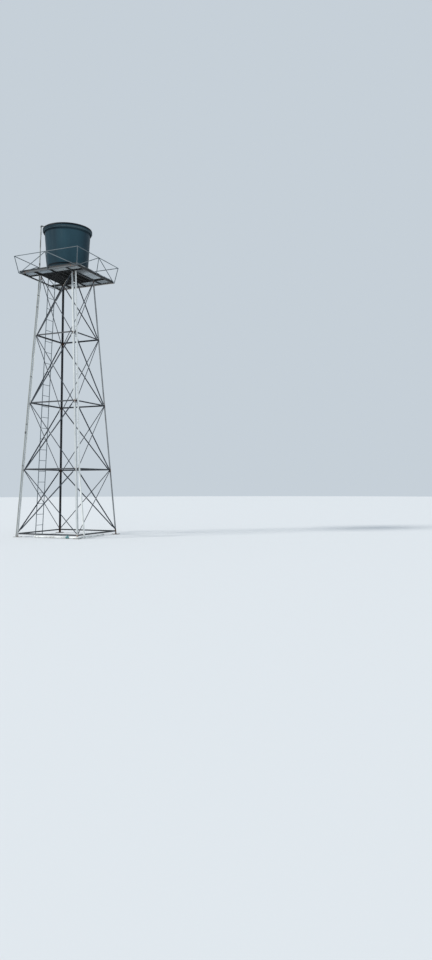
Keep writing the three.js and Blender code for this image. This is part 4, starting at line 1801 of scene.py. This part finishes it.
@dataclass
class Ladder:
    """A ladder of round bar that leans with the back face and stops at the open strip."""

    centre: float = 0.062
    width: float = 0.335
    standoff: float = 0.06
    bar: float = 0.012
    rung: float = 0.008
    pitch: float = 0.328
    foot_z: float = 0.001
    top_z: float = 7.752
    highest_rung: float = 7.507
    lowest_rung: float = 0.2
    head_z: float = 7.726
    bracket: float = 0.024
    bracket_thickness: float = 0.006
    bracket_gap: float = 0.0005
    weld_share: float = 1.5
    weld_height: float = 0.006

    def _at(self, side: int, z: float) -> Vector:
        """Give a point on a rail's centre line."""
        return Vector((self.centre + side * self.width / 2, TOWER.face_at(z) + self.standoff, z))

    def _bracket(self, x: float, start: float, end: float, z: float) -> Thing:
        """Model a flat bracket between the frame and a rail.

        Args:
            x: Its middle across the ladder.
            start: Where it starts along Y.
            end: Where it ends along Y.
            z: Its height.

        Returns:
            The bracket.
        """
        t, half = self.bracket_thickness / 2, self.bracket / 2
        piece = blank("bracket", (x - t, start, z - half), (x + t, end, z + half))
        with shaping(piece):
            bevel(piece, spans(1), 0.001)
        return piece

    def build(self, steel: Material) -> None:
        """Build the rails, rungs, welds and brackets.

        Args:
            steel: Their finish.
        """
        half = self.width / 2
        parts = []
        for side in (-1, 1):
            parts.append(rod("rail", self._at(side, self.foot_z), self._at(side, self.top_z), self.bar))
        count = math.ceil((self.highest_rung - self.lowest_rung) / self.pitch)
        heights = [self.highest_rung - i * self.pitch for i in range(count)]
        rung = rod("rung", (-half, 0, 0), (half, 0, 0), self.rung, FEW)
        middles = [Matrix.Translation((self._at(-1, z) + self._at(1, z)) / 2) for z in heights]
        parts.append(repeated("rungs", rung, middles))
        spots = []
        for z in heights:
            for side in (-1, 1):
                inward = Vector((-side, 0, 0))
                spots.append(upright(self._at(side, z) + inward * self.bar * 0.85, inward))
        ring = collar_ring("ring", self.rung * 0.9, self.rung * self.weld_share, self.weld_height)
        parts.append(repeated("rung_welds", ring, spots))
        starts = [(z, TOWER.seat_at(z) + self.bracket_gap) for z in TOWER.levels]
        starts.append((self.head_z, PLATFORM.long_joists[-1] + TOUCH))
        for side in (-1, 1):
            for z, start in starts:
                rail = self._at(side, z)
                parts.append(self._bracket(rail.x, start, rail.y, z))
        fit(gather("ladder_bars", parts), steel, "rail_steel", "ladder")


# The tank


def around(radius: float, height: float, *steps: Point) -> list[tuple[float, float]]:
    """Give points of an outline by their steps from one place."""
    return [(radius + out, height + up) for out, up in steps]


@dataclass
class Tank:
    """An open moulded tank that widens upwards, with a foot bead and a deep rolled rim."""

    foot_radius: float = 0.594
    bottom_radius: float = 0.59
    taper: float = 0.0661
    wall: float = 0.008
    floor: float = 0.01
    top_z: float = 9.13
    rim: float = 0.727
    rim_depth: float = 0.115
    roll_depth: float = 0.085
    band: float = 0.702
    rim_thickness: float = 0.011
    rim_lip: float = 0.658
    water_z: float = 8.78
    steps: int = 128

    @property
    def foot_z(self) -> float:
        """Give the height of the tank's underside."""
        return PLATFORM.plank_z + PLANKS.thickness + TOUCH

    def radius_at(self, z: float) -> float:
        """Give the wall's outer radius at a height."""
        return self.bottom_radius + self.taper * (z - self.foot_z - self.floor - TOUCH)

    def _outside(self) -> list[tuple[float, float]]:
        """Give the outline from the middle of the underside to the top of the rim.

        Returns:
            Points as (radius, height).
        """
        z0, foot = self.foot_z, self.foot_radius
        points = [(0, z0), *around(foot, z0, (-0.006, 0), (-0.002, 0.001), (0, 0.004), (0, 0.026))]
        points += around(foot, z0, (-0.001, 0.03))
        for height in (0.036, 0.2, 0.4, 0.6, 0.8, 1.0, 1.2, 1.3):
            points.append((self.radius_at(z0 + height), z0 + height))
        under = self.top_z - self.rim_thickness
        low = self.top_z - self.rim_depth
        roll = self.top_z - self.roll_depth
        wall = self.radius_at(under)
        rim, band = self.rim, self.band
        points += around(wall, under, (0, -0.012), (0.004, -0.003), (0.012, 0))
        points += around(rim, under, (-0.02, 0), (-0.014, -0.004), (-0.012, -0.012))
        points += around(rim, roll, (-0.012, 0.018), (-0.016, 0.012))
        points += around(band, roll, (-0.004, 0.008), (-0.009, 0.002), (-0.01, -0.01))
        points += around(band, low, (-0.01, 0.008), (-0.007, 0.002), (-0.002, 0), (0.002, 0.001))
        points += around(band, low, (0.004, 0.004), (0.004, 0.008), (0.002, 0.011), (0, 0.014))
        points += around(band, roll, (0, -0.01), (0.002, -0.004), (0.007, 0))
        points += around(rim, roll, (-0.009, 0.002), (-0.003, 0.006), (0, 0.014))
        points += around(rim, self.top_z, (0, -0.014), (-0.003, -0.005), (-0.01, 0))
        return points

    def _inside(self) -> list[tuple[float, float]]:
        """Give the outline from the rim's lip down the inner wall to the middle of the floor.

        Returns:
            Points as (radius, height).
        """
        z1 = self.foot_z + self.floor
        points = around(self.rim_lip, self.top_z, (0.01, 0), (0.003, -0.003), (0, -0.009))
        points += around(self.rim_lip, self.top_z, (0.002, -0.016), (0.011, -0.024))
        for height in (1.2, 0.9, 0.6, 0.3, 0.05):
            points.append((self.radius_at(z1 + height) - self.wall, z1 + height))
        corner = self.bottom_radius - self.wall
        points += around(corner, z1, (-0.004, 0.016), (-0.018, 0.003), (-0.04, 0))
        return [*points, (0, z1)]

    def build(self, plastic: Material, water: Material) -> None:
        """Build the shell and the water in it.

        Args:
            plastic: The shell's finish.
            water: The water's finish.
        """
        shell = turned("tank_shell", [*self._outside(), *self._inside()], self.steps)
        fit(shell, plastic, "tank_plastic", "tank_bottom", "tank_wall", "tank_rim", degrees=40)
        edge = self.radius_at(self.water_z) - self.wall
        outline = [(0, self.water_z - 0.01), (edge, self.water_z - 0.01), (edge, self.water_z + 0.0012)]
        outline += [(edge - 0.003, self.water_z), (edge * 0.5, self.water_z), (0, self.water_z)]
        fit(turned("tank_water", outline, 96), water, "tank_plastic")


PLANKS = Planks()
TANK = Tank()


# Pipes


class Way(Enum):
    """A way that a fitting of the header points."""

    EAST = (1, 0, 0)
    NORTH = (0, 1, 0)
    UP = (0, 0, 1)


@dataclass(frozen=True)
class PipeSize:
    """A pipe size: its radius, how much a socket adds, its sides and the length of an elbow's mouth."""

    radius: float
    grow: float = 0.005
    sides: int = 20
    mouth: float = 0.016

    @property
    def outer(self) -> float:
        """Give a socket's radius."""
        return self.radius + self.grow

    def socket(self, length: float) -> Thing:
        """Turn a socket about the origin, with its ends eased and a bead round each mouth.

        Args:
            length: Its length.

        Returns:
            The socket.
        """
        half, outer, bore = length / 2, self.outer, self.radius * 0.98
        lip = min(0.006, half * 0.3)
        body = outer - 0.0012
        outline = [(bore, -half), (outer - 0.001, -half), (outer, -half + 0.001), (outer, -half + lip)]
        outline += [(body, -half + lip + 0.001), (body, half - lip - 0.001), (outer, half - lip)]
        outline += [(outer, half - 0.001), (outer - 0.001, half), (bore, half), (bore, -half)]
        return turned("socket", outline, self.sides)

    def cap(self, length: float) -> Thing:
        """Turn an end cap about the origin, closed on +Z.

        Args:
            length: Its length.

        Returns:
            The cap.
        """
        half, outer, body = length / 2, self.outer, self.outer - 0.0012
        outline = [(0, -half), (outer - 0.001, -half), (outer, -half + 0.001), (outer, -half + 0.006)]
        outline += [(body, -half + 0.007), (body, half - 0.006), (outer - 0.003, half - 0.002)]
        outline += [(outer - 0.007, half), (0, half)]
        return turned("cap", outline, self.sides)

    def elbow(self, before: Point, corner: Point, after: Point, leg: float) -> list[Thing]:
        """Model an elbow fitting over a corner of a route.

        Args:
            before: A point on the way in.
            corner: The corner.
            after: A point on the way out.
            leg: How far each leg reaches from the corner.

        Returns:
            The bent body and a socket on each leg.
        """
        middle = Vector(corner)
        ways = [(Vector(p) - middle).normalized() for p in (before, after)]
        route = [middle + ways[0] * leg, middle, middle + ways[1] * leg]
        parts = [pipe_run("elbow", route, self.outer - 0.0016, self.radius * 1.15, self.sides)]
        for way in ways:
            place = upright(middle + way * (leg - self.mouth / 2), way)
            parts.append(placed(self.socket(self.mouth), place))
        return parts


MAIN = PipeSize(0.024, 0.005, 22)
RISER = PipeSize(0.017, 0.005, 18)


CLIP_WIDTH = 0.028
CLIP_GAP = 0.0004
CLIP_METAL = 0.004


def clip_ring(size: PipeSize) -> Thing:
    """Turn the strap of a pipe clip about the origin.

    Args:
        size: The pipe that it holds.

    Returns:
        The strap.
    """
    half, outer, bore = CLIP_WIDTH / 2, size.radius + 0.003, size.radius * 0.99
    outline = [(bore, -half), (outer - 0.0008, -half), (outer, -half + 0.0008), (outer, half - 0.0008)]
    outline += [(outer - 0.0008, half), (bore, half), (bore, -half)]
    return turned("strap", outline, size.sides)


def clip_plate(low: Point, high: Point) -> Thing:
    """Model the flat foot of a pipe clip, with its rims eased.

    Args:
        low: One corner.
        high: The opposite corner.

    Returns:
        The foot.
    """
    piece = blank("foot", low, high)
    with shaping(piece):
        bevel(piece, lambda edge: True, 0.001, 1)
    return piece


@dataclass
class FillRiser:
    """The pipe that climbs the back left leg and hooks over the tank's rim."""

    offset: tuple[float, float] = (-0.022, 0.017)
    foot_z: float = 0.0085
    top_z: float = 9.172
    hook_reach: float = 0.62
    hook_drop: float = 0.07
    straight_z: float = 7.8
    head_set: float = 0.05
    couplings: Series = (8.032, 3.05)
    pale_coupling: float = 8.95
    clips: Series = (7.11, 6.76, 4.7, 3.3, 2.08)
    bend: float = 0.03
    coupling: float = 0.062
    leg: float = 0.045
    clip_end: float = 0.042
    screw_in: float = 0.03

    @property
    def lean(self) -> Point:
        """Give the way that the leg leans."""
        return (TOWER.batter, -TOWER.batter, 1)

    def at(self, z: float) -> Vector:
        """Give a point on the centre line: beside the leg, then upright, then leaning to the tank.

        Args:
            z: Its height.

        Returns:
            The point.
        """
        face = TOWER.face_at(min(z, TOWER.shoulder))
        x, y = self.offset[0] - face, self.offset[1] + face
        share = max(z - self.straight_z, 0) / (self.top_z - self.straight_z)
        reach = 1 - self.head_set * share / math.hypot(x, y)
        return Vector((x * reach, y * reach, z))

    def _build_clips(self, zinc: Material) -> None:
        """Clip the pipe to its leg.

        Args:
            zinc: Their finish.
        """
        straps, screws = [], []
        for z in self.clips:
            centre, face = self.at(z), TOWER.face_at(z)
            straps.append(placed(clip_ring(RISER), upright(centre, self.lean)))
            near, far = face + CLIP_GAP, face + CLIP_GAP + CLIP_METAL
            end = (-face + self.clip_end, far, z + CLIP_WIDTH / 2)
            straps.append(clip_plate((centre.x, near, z - CLIP_WIDTH / 2), end))
            screws.append(upright((-face + self.screw_in, far, z), (0, 1, 0)))
        fit(gather("fill_riser_clips", straps), zinc, "pipe_plastic")
        screw = Bolt(0.006).model("screw", nut=False)
        fit(repeated("fill_riser_screws", screw, screws), zinc, "pipe_plastic")

    def build(self, plastic: Material, dark: Material, zinc: Material) -> None:
        """Build the pipe, its fittings and its clips.

        Args:
            plastic: The pipe's finish.
            dark: The finish of the darker couplings.
            zinc: The clips' finish.
        """
        head = self.at(self.top_z)
        away = math.hypot(head.x, head.y)
        over = Vector((head.x * self.hook_reach / away, head.y * self.hook_reach / away, self.top_z))
        drop = over - Vector((0, 0, self.hook_drop))
        straight = self.at(self.straight_z)
        route = [self.at(self.foot_z), self.at(TOWER.shoulder), straight, head, over, drop]
        parts = [pipe_run("pipe", route, RISER.radius, self.bend, RISER.sides)]
        parts += RISER.elbow(head, over, drop, self.leg)
        pale = upright(self.at(self.pale_coupling), head - straight)
        parts.append(placed(RISER.socket(self.coupling), pale))
        fit(gather("fill_riser_pipe", parts), plastic, "pipe_plastic", "fill_riser")
        joints = RISER.elbow(straight, head, over, self.leg)
        for z in self.couplings:
            way = head - straight if z > TOWER.shoulder else self.lean
            joints.append(placed(RISER.socket(self.coupling), upright(self.at(z), way)))
        fit(gather("fill_riser_couplings", joints), dark, "pipe_plastic")
        self._build_clips(zinc)


@dataclass
class DownPipe:
    """The pipe from the tank's outlet down the front left leg to a tee in the header."""

    side: float = 0.09
    standoff: float = 0.032
    kick_z: float = 1.9
    kick: float = 0.175
    outlet_z: float = 7.925
    flange: float = 0.036
    flange_thickness: float = 0.012
    clips: Series = (7.38, 6.1, 4.7, 3.3, 2.08)
    bend: float = 0.034
    head_leg: float = 0.06
    kick_leg: float = 0.05
    tee_rise: float = 0.05
    clip_start: float = 0.01
    clip_past: float = 0.006
    clip_depth: float = 0.005
    strap_in: float = 0.02
    screw_in: float = 0.024

    def at(self, z: float) -> Vector:
        """Give a point on the centre line beside the leg."""
        face = TOWER.face_at(min(z, TOWER.shoulder))
        return Vector((-(face - 0.015) + self.side, -(face + self.standoff), z))

    @property
    def tee(self) -> Vector:
        """Give the middle of the tee."""
        return Vector((self.at(0).x + self.kick, -HEADER.out, HEADER.z))

    def _flange(self, centre: Vector, way: Vector) -> Thing:
        """Turn the outlet's flange, with a step to its nut.

        Args:
            centre: Its place on the tank's wall.
            way: The way that it faces.

        Returns:
            The flange.
        """
        r, t = self.flange, self.flange_thickness
        outline = [(0, 0), (r, 0), (r, t * 0.35), (r - 0.002, t * 0.45), (r - 0.006, t * 0.5)]
        outline += [(r - 0.006, t), (r - 0.008, t + 0.004), (0, t + 0.004)]
        return placed(turned("flange", outline, FEW), upright(centre, way))

    def _build_clips(self, plastic: Material, zinc: Material) -> None:
        """Clip the pipe to its leg.

        Args:
            plastic: The clips' finish.
            zinc: The screws' finish.
        """
        lean = (TOWER.batter, TOWER.batter, 1)
        straps, screws = [], []
        for z in self.clips:
            centre, face = self.at(z), TOWER.face_at(z)
            straps.append(placed(clip_ring(MAIN), upright(centre, lean)))
            low, high = z - CLIP_WIDTH / 2, z + CLIP_WIDTH / 2
            start = (-face + self.clip_start, -face - self.clip_depth, low)
            straps.append(clip_plate(start, (centre.x + self.clip_past, -face - CLIP_GAP, high)))
            start = (centre.x - CLIP_METAL, centre.y + self.strap_in, low)
            straps.append(clip_plate(start, (centre.x + CLIP_METAL, -face - CLIP_METAL, high)))
            screws.append(upright((-face + self.screw_in, -face - self.clip_depth, z), (0, -1, 0)))
        fit(gather("down_pipe_clips", straps), plastic, "pipe_plastic")
        screw = Bolt(0.007).model("screw", nut=False)
        fit(repeated("down_pipe_screws", screw, screws), zinc, "pipe_plastic")

    def build(self, plastic: Material, zinc: Material) -> None:
        """Build the pipe, its fittings and its clips.

        Args:
            plastic: The pipe's finish.
            zinc: The screws' finish.
        """
        head = self.at(self.outlet_z)
        away = Vector((head.x, head.y, 0)).normalized()
        wall = TANK.radius_at(self.outlet_z) - 0.0005
        mouth = away * wall + Vector((0, 0, self.outlet_z))
        shoulder, kick = self.at(TOWER.shoulder), self.at(self.kick_z)
        branch = self.tee + Vector((0, 0, self.tee_rise))
        route = [mouth, head, shoulder, kick, branch]
        parts = [pipe_run("pipe", route, MAIN.radius, self.bend, MAIN.sides)]
        parts += MAIN.elbow(mouth, head, shoulder, self.head_leg)
        parts.append(self._flange(mouth, away))
        parts += MAIN.elbow(shoulder, kick, branch, self.kick_leg)
        fit(gather("down_pipe_run", parts), plastic, "pipe_plastic", "down_pipe")
        self._build_clips(plastic, zinc)


@dataclass
class Header:
    """The level pipe on the ground along the front and round to the left, with a ball valve."""

    standoff: float = 0.032
    end_front: float = 0.25
    end_left: float = 0.4
    valve_y: float = -0.735
    valve_half: float = 0.062
    cap_length: float = 0.04
    cap_lap: float = 0.01
    bend: float = 0.034
    bed: float = 0.008
    leg: float = 0.055
    tee_length: float = 0.096
    branch_length: float = 0.05
    branch_rise: float = 0.026

    @property
    def out(self) -> float:
        """Give the distance from the axis to its centre line."""
        return TOWER.face_at(0) + self.standoff

    @property
    def z(self) -> float:
        """Give the height of its centre line."""
        return self.bed + TOUCH + MAIN.outer

    def build(self, plastic: Material, tee: Vector) -> None:
        """Build both runs, with the corner, the tee and the capped ends.

        Args:
            plastic: The pipes' finish.
            tee: The middle of the tee.
        """
        out, z = self.out, self.z
        corner = Vector((-out, -out, z))
        start = Vector((-out, self.valve_y - self.valve_half, z))
        end = Vector((self.end_front, -out, z))
        route = [start, corner, end - Vector((self.cap_lap, 0, 0))]
        parts = [pipe_run("run", route, MAIN.radius, self.bend, MAIN.sides)]
        parts += MAIN.elbow(start, corner, end, self.leg)
        parts.append(placed(MAIN.socket(self.tee_length), upright(tee, Way.EAST.value)))
        rise = tee + Vector((0, 0, self.branch_rise))
        parts.append(placed(MAIN.socket(self.branch_length), upright(rise, Way.UP.value)))
        middle = end - Vector((self.cap_length / 2, 0, 0))
        parts.append(placed(MAIN.cap(self.cap_length), upright(middle, Way.EAST.value)))
        fit(gather("header_front_run", parts), plastic, "pipe_plastic", "header_front")
        start = Vector((-out, self.valve_y + self.valve_half + TOUCH, z))
        end = Vector((-out, self.end_left, z))
        parts = [rod("run", start, end - Vector((0, self.cap_lap, 0)), MAIN.radius, MAIN.sides, 0.04)]
        middle = end - Vector((0, self.cap_length / 2, 0))
        parts.append(placed(MAIN.cap(self.cap_length), upright(middle, Way.NORTH.value)))
        fit(gather("header_left_run", parts), plastic, "pipe_plastic", "header_left")


HEADER = Header()


@dataclass
class Valve:
    """A ball valve with a union nut at each end and a flat lever on top."""

    body: float = 0.03
    nut: float = 0.0285
    nut_length: float = 0.03
    nut_sides: int = 32
    stem: float = 0.014
    neck: float = 0.018
    hub_height: float = 0.014
    lever_half: float = 0.048
    lever_width: float = 0.016

    def _nut(self, y: float) -> Thing:
        """Model a ribbed union nut about the pipe.

        Args:
            y: Its middle.

        Returns:
            The nut.
        """
        half, facet = self.nut_length / 2, 360 / self.nut_sides
        piece = cylinder("nut", self.nut_sides, self.nut, self.nut_length)
        with shaping(piece):
            pick(piece, Elements.FACES, lambda f: abs(f.normal.z) < 0.1
                 and round(math.degrees(math.atan2(f.normal.y, f.normal.x)) / facet) % 4 < 2)
            bpy.ops.transform.resize(value=(1.045, 1.045, 0.86))
            bevel(piece, in_planes(2, -half, half), 0.0012, 1)
        return placed(piece, upright((-HEADER.out, y, HEADER.z), Way.NORTH.value))

    def build(self, plastic: Material) -> None:
        """Build the valve's body and its lever.

        Args:
            plastic: Its finish.
        """
        y, half = HEADER.valve_y, HEADER.valve_half
        r = self.body
        end = r * 0.8
        outline = [(0, -half + 0.001), (end, -half + 0.001), (end, -half + 0.03), (r * 0.93, -0.026)]
        outline += [(r, -0.014), (r, 0.014), (r * 0.93, 0.026), (end, half - 0.03), (end, half), (0, half)]
        shell = placed(turned("shell", outline, 28), upright((-HEADER.out, y, HEADER.z), Way.NORTH.value))
        top = HEADER.z + MAIN.radius + self.neck
        stem = rod("stem", (-HEADER.out, y, HEADER.z), (-HEADER.out, y, top), self.stem)
        nuts = [self._nut(y - half + 0.016), self._nut(y + half - 0.015)]
        fit(gather("valve_shell", [shell, stem, *nuts]), plastic, "valve_plastic", "valve_body")
        low = top + TOUCH
        hub = rod("hub", (-HEADER.out, y, low), (-HEADER.out, y, low + self.hub_height), self.stem - 0.001)
        wide = self.lever_width / 2
        lever = blank("lever", (-wide, -self.lever_half, 0.004), (wide, self.lever_half, self.hub_height))
        with shaping(lever):
            for x in (wide, -wide):
                bevel(lever, line_at(2, x=x), wide * 0.7, 4)
            pick(lever, Elements.FACES, facing(2, 1))
            bpy.ops.mesh.inset(thickness=0.0025, depth=-0.0015)
        placed(lever, Matrix.Translation((-HEADER.out, y, low)))
        fit(gather("valve_lever", [hub, lever]), plastic, "valve_plastic", "valve_handle")


# The studio


@dataclass
class Studio:
    """A pale floor, soft light and the camera where the photograph was taken."""

    eye: Point = (-17.51, -12.2, 1.511)
    heading: Point = (0.9213, 0.3889, 0.0066)
    roll: float = -0.00276
    focal: float = 697.5
    frame_height: float = 960
    sensor: float = 36
    far: float = 500
    floor_radius: float = 70
    floor_drop: float = 0.0005
    sky: Colour = (0.565, 0.63, 0.69)
    sun_strength: float = 2.6
    sun_angle: float = 9
    sun_colour: Colour = (1.0, 0.97, 0.92)
    sun_from: Point = (-0.52, 0.59, 0.6)

    def _camera(self) -> None:
        """Place the camera."""
        data = bpy.data.cameras.new("camera")
        data.sensor_fit = "VERTICAL"
        data.sensor_height = self.sensor
        data.lens = self.focal / self.frame_height * self.sensor
        data.clip_end = self.far
        camera = linked("camera", data)
        ahead = Vector(self.heading).normalized()
        right = ahead.cross(Vector((0, 0, 1))).normalized()
        up = right.cross(ahead)
        turn = Matrix((right, up, -ahead)).transposed().to_4x4()
        place = Matrix.Translation(Vector(self.eye))
        camera.matrix_world = place @ turn @ Matrix.Rotation(self.roll, 4, "Z")
        bpy.context.scene.camera = camera

    def _lights(self) -> None:
        """Light the tower softly from the left, above the camera."""
        sun = bpy.data.lights.new("key", "SUN")
        sun.energy = self.sun_strength
        sun.angle = math.radians(self.sun_angle)
        sun.color = self.sun_colour
        linked("key", sun).matrix_world = upright((0, 0, 20), self.sun_from)
        world = bpy.data.worlds.new("studio")
        world.use_nodes = True
        back = world.node_tree.nodes["Background"]
        back.inputs["Color"].default_value = (*self.sky, 1)
        back.inputs["Strength"].default_value = 1.0
        bpy.context.scene.world = world

    def _floor(self) -> None:
        """Lay the floor."""
        disc = {"vertices": 96, "radius": self.floor_radius, "fill_type": "NGON"}
        floor = started("studio_floor", bpy.ops.mesh.primitive_circle_add, **disc)
        placed(floor, Matrix.Translation((0, 0, -self.floor_drop)))
        floor.data.materials.append(GroundFinish().make())
        floor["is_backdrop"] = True

    def build(self) -> None:
        """Set up the studio."""
        bpy.context.scene.view_settings.view_transform = "Standard"
        self._camera()
        self._lights()
        self._floor()


def record_size(cad_box: Any) -> None:
    """Write the CAD box and the visual model's box.

    Args:
        cad_box: The box of the CAD model alone.
    """
    boxes = {"cad": cad_box, "visual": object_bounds()}
    plain = {name: [[float(v) for v in corner] for corner in box] for name, box in boxes.items()}
    LOG.info("size: %s", plain)


def main() -> None:
    """Build the tower around the frame, one sub-assembly after another."""
    logging.basicConfig(level=logging.INFO, format="%(message)s")
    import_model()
    cad_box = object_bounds()
    Studio().build()
    # The legs are lit and shaded copies of one steel paint: the left legs are painted lighter and the right
    # legs darker, as painted light and shade, and the front left leg has painted shade under the deck
    legs = {
        Corner.FRONT_LEFT: SteelFinish("leg_white", (0.54, 0.57, 0.58), (0.44, 0.47, 0.48),
                                       (0.28, 0.29, 0.29), rust_level=0.74, shade_z=7.3).make(),
        Corner.BACK_LEFT: SteelFinish("leg_paint_lit_back_left", (0.6, 0.63, 0.63), (0.46, 0.485, 0.49),
                                      rust_level=0.7).make(),
        Corner.FRONT_RIGHT: SteelFinish("leg_grey", (0.31, 0.33, 0.34), (0.19, 0.2, 0.21)).make(),
        Corner.BACK_RIGHT: SteelFinish("leg_dark", (0.04, 0.045, 0.052), (0.028, 0.03, 0.034)).make(),
    }
    dull = {"rust_level": 0.77, "joint_rust": 0.08}
    grey = SteelFinish("frame_paint", (0.06, 0.066, 0.074), (0.04, 0.044, 0.05), **dull).make()
    thin = SteelFinish("brace_paint", (0.045, 0.056, 0.07), (0.03, 0.037, 0.047), **dull).make()
    dark = SteelFinish("platform_paint", (0.032, 0.034, 0.035), (0.02, 0.021, 0.022), **dull).make()
    # The left edge angle carries a painted shade line along its face at a height
    pale = SteelFinish("edge_paint", (0.12, 0.136, 0.146), (0.084, 0.096, 0.104), rust_level=0.72,
                       shade_line_z=7.738).make()
    light = SteelFinish("primer", (0.42, 0.41, 0.39), (0.32, 0.3, 0.28), rust_level=0.72).make()
    brown = SteelFinish("tie_paint", (0.6, 0.57, 0.5), (0.45, 0.42, 0.36), rust_level=0.72).make()
    rail = SteelFinish("rail_paint", (0.16, 0.19, 0.21), (0.11, 0.135, 0.15), **dull).make()
    zinc = SteelFinish("zinc", (0.3, 0.3, 0.29), (0.2, 0.2, 0.19), metallic=0.6, rust_level=0.62).make()
    wood = BoardFinish("grey_planks").make()
    tank = TankFinish("moulded_tank").make()
    white = PipeFinish("pipe_white").make()
    worn = PipeFinish("pipe_worn", (0.4, 0.42, 0.4), (0.25, 0.26, 0.25), dirt_level=0.55,
                       stains=((8.64, 0.16), (7.7, 0.07))).make()
    joint = PipeFinish("pipe_dark_joint", (0.12, 0.12, 0.12), (0.08, 0.08, 0.075)).make()
    valve = PipeFinish("valve_green", (0.03, 0.2, 0.22), (0.05, 0.23, 0.24), dirt_level=0.64).make()
    water = WaterFinish("still_water").make()
    Legs().build(legs, zinc)
    Rings().build(grey, zinc)
    Braces().build(thin, zinc)
    PLATFORM.build(dark, pale, light, brown, zinc)
    riser, down = FillRiser(), DownPipe()
    clearance = 0.003
    holes = {
        "deck_left": (riser.at(TOWER.shoulder).xy, RISER.radius + clearance),
        "deck_front": (down.at(TOWER.shoulder).xy, MAIN.radius + clearance),
    }
    PLANKS.build(wood, zinc, holes)
    GuardRails().build(rail)
    Ladder().build(rail)
    TANK.build(tank, water)
    riser.build(worn, joint, zinc)
    down.build(white, zinc)
    HEADER.build(white, down.tee)
    Valve().build(valve)
    record_size(cad_box)


if __name__ == "__main__":
    main()
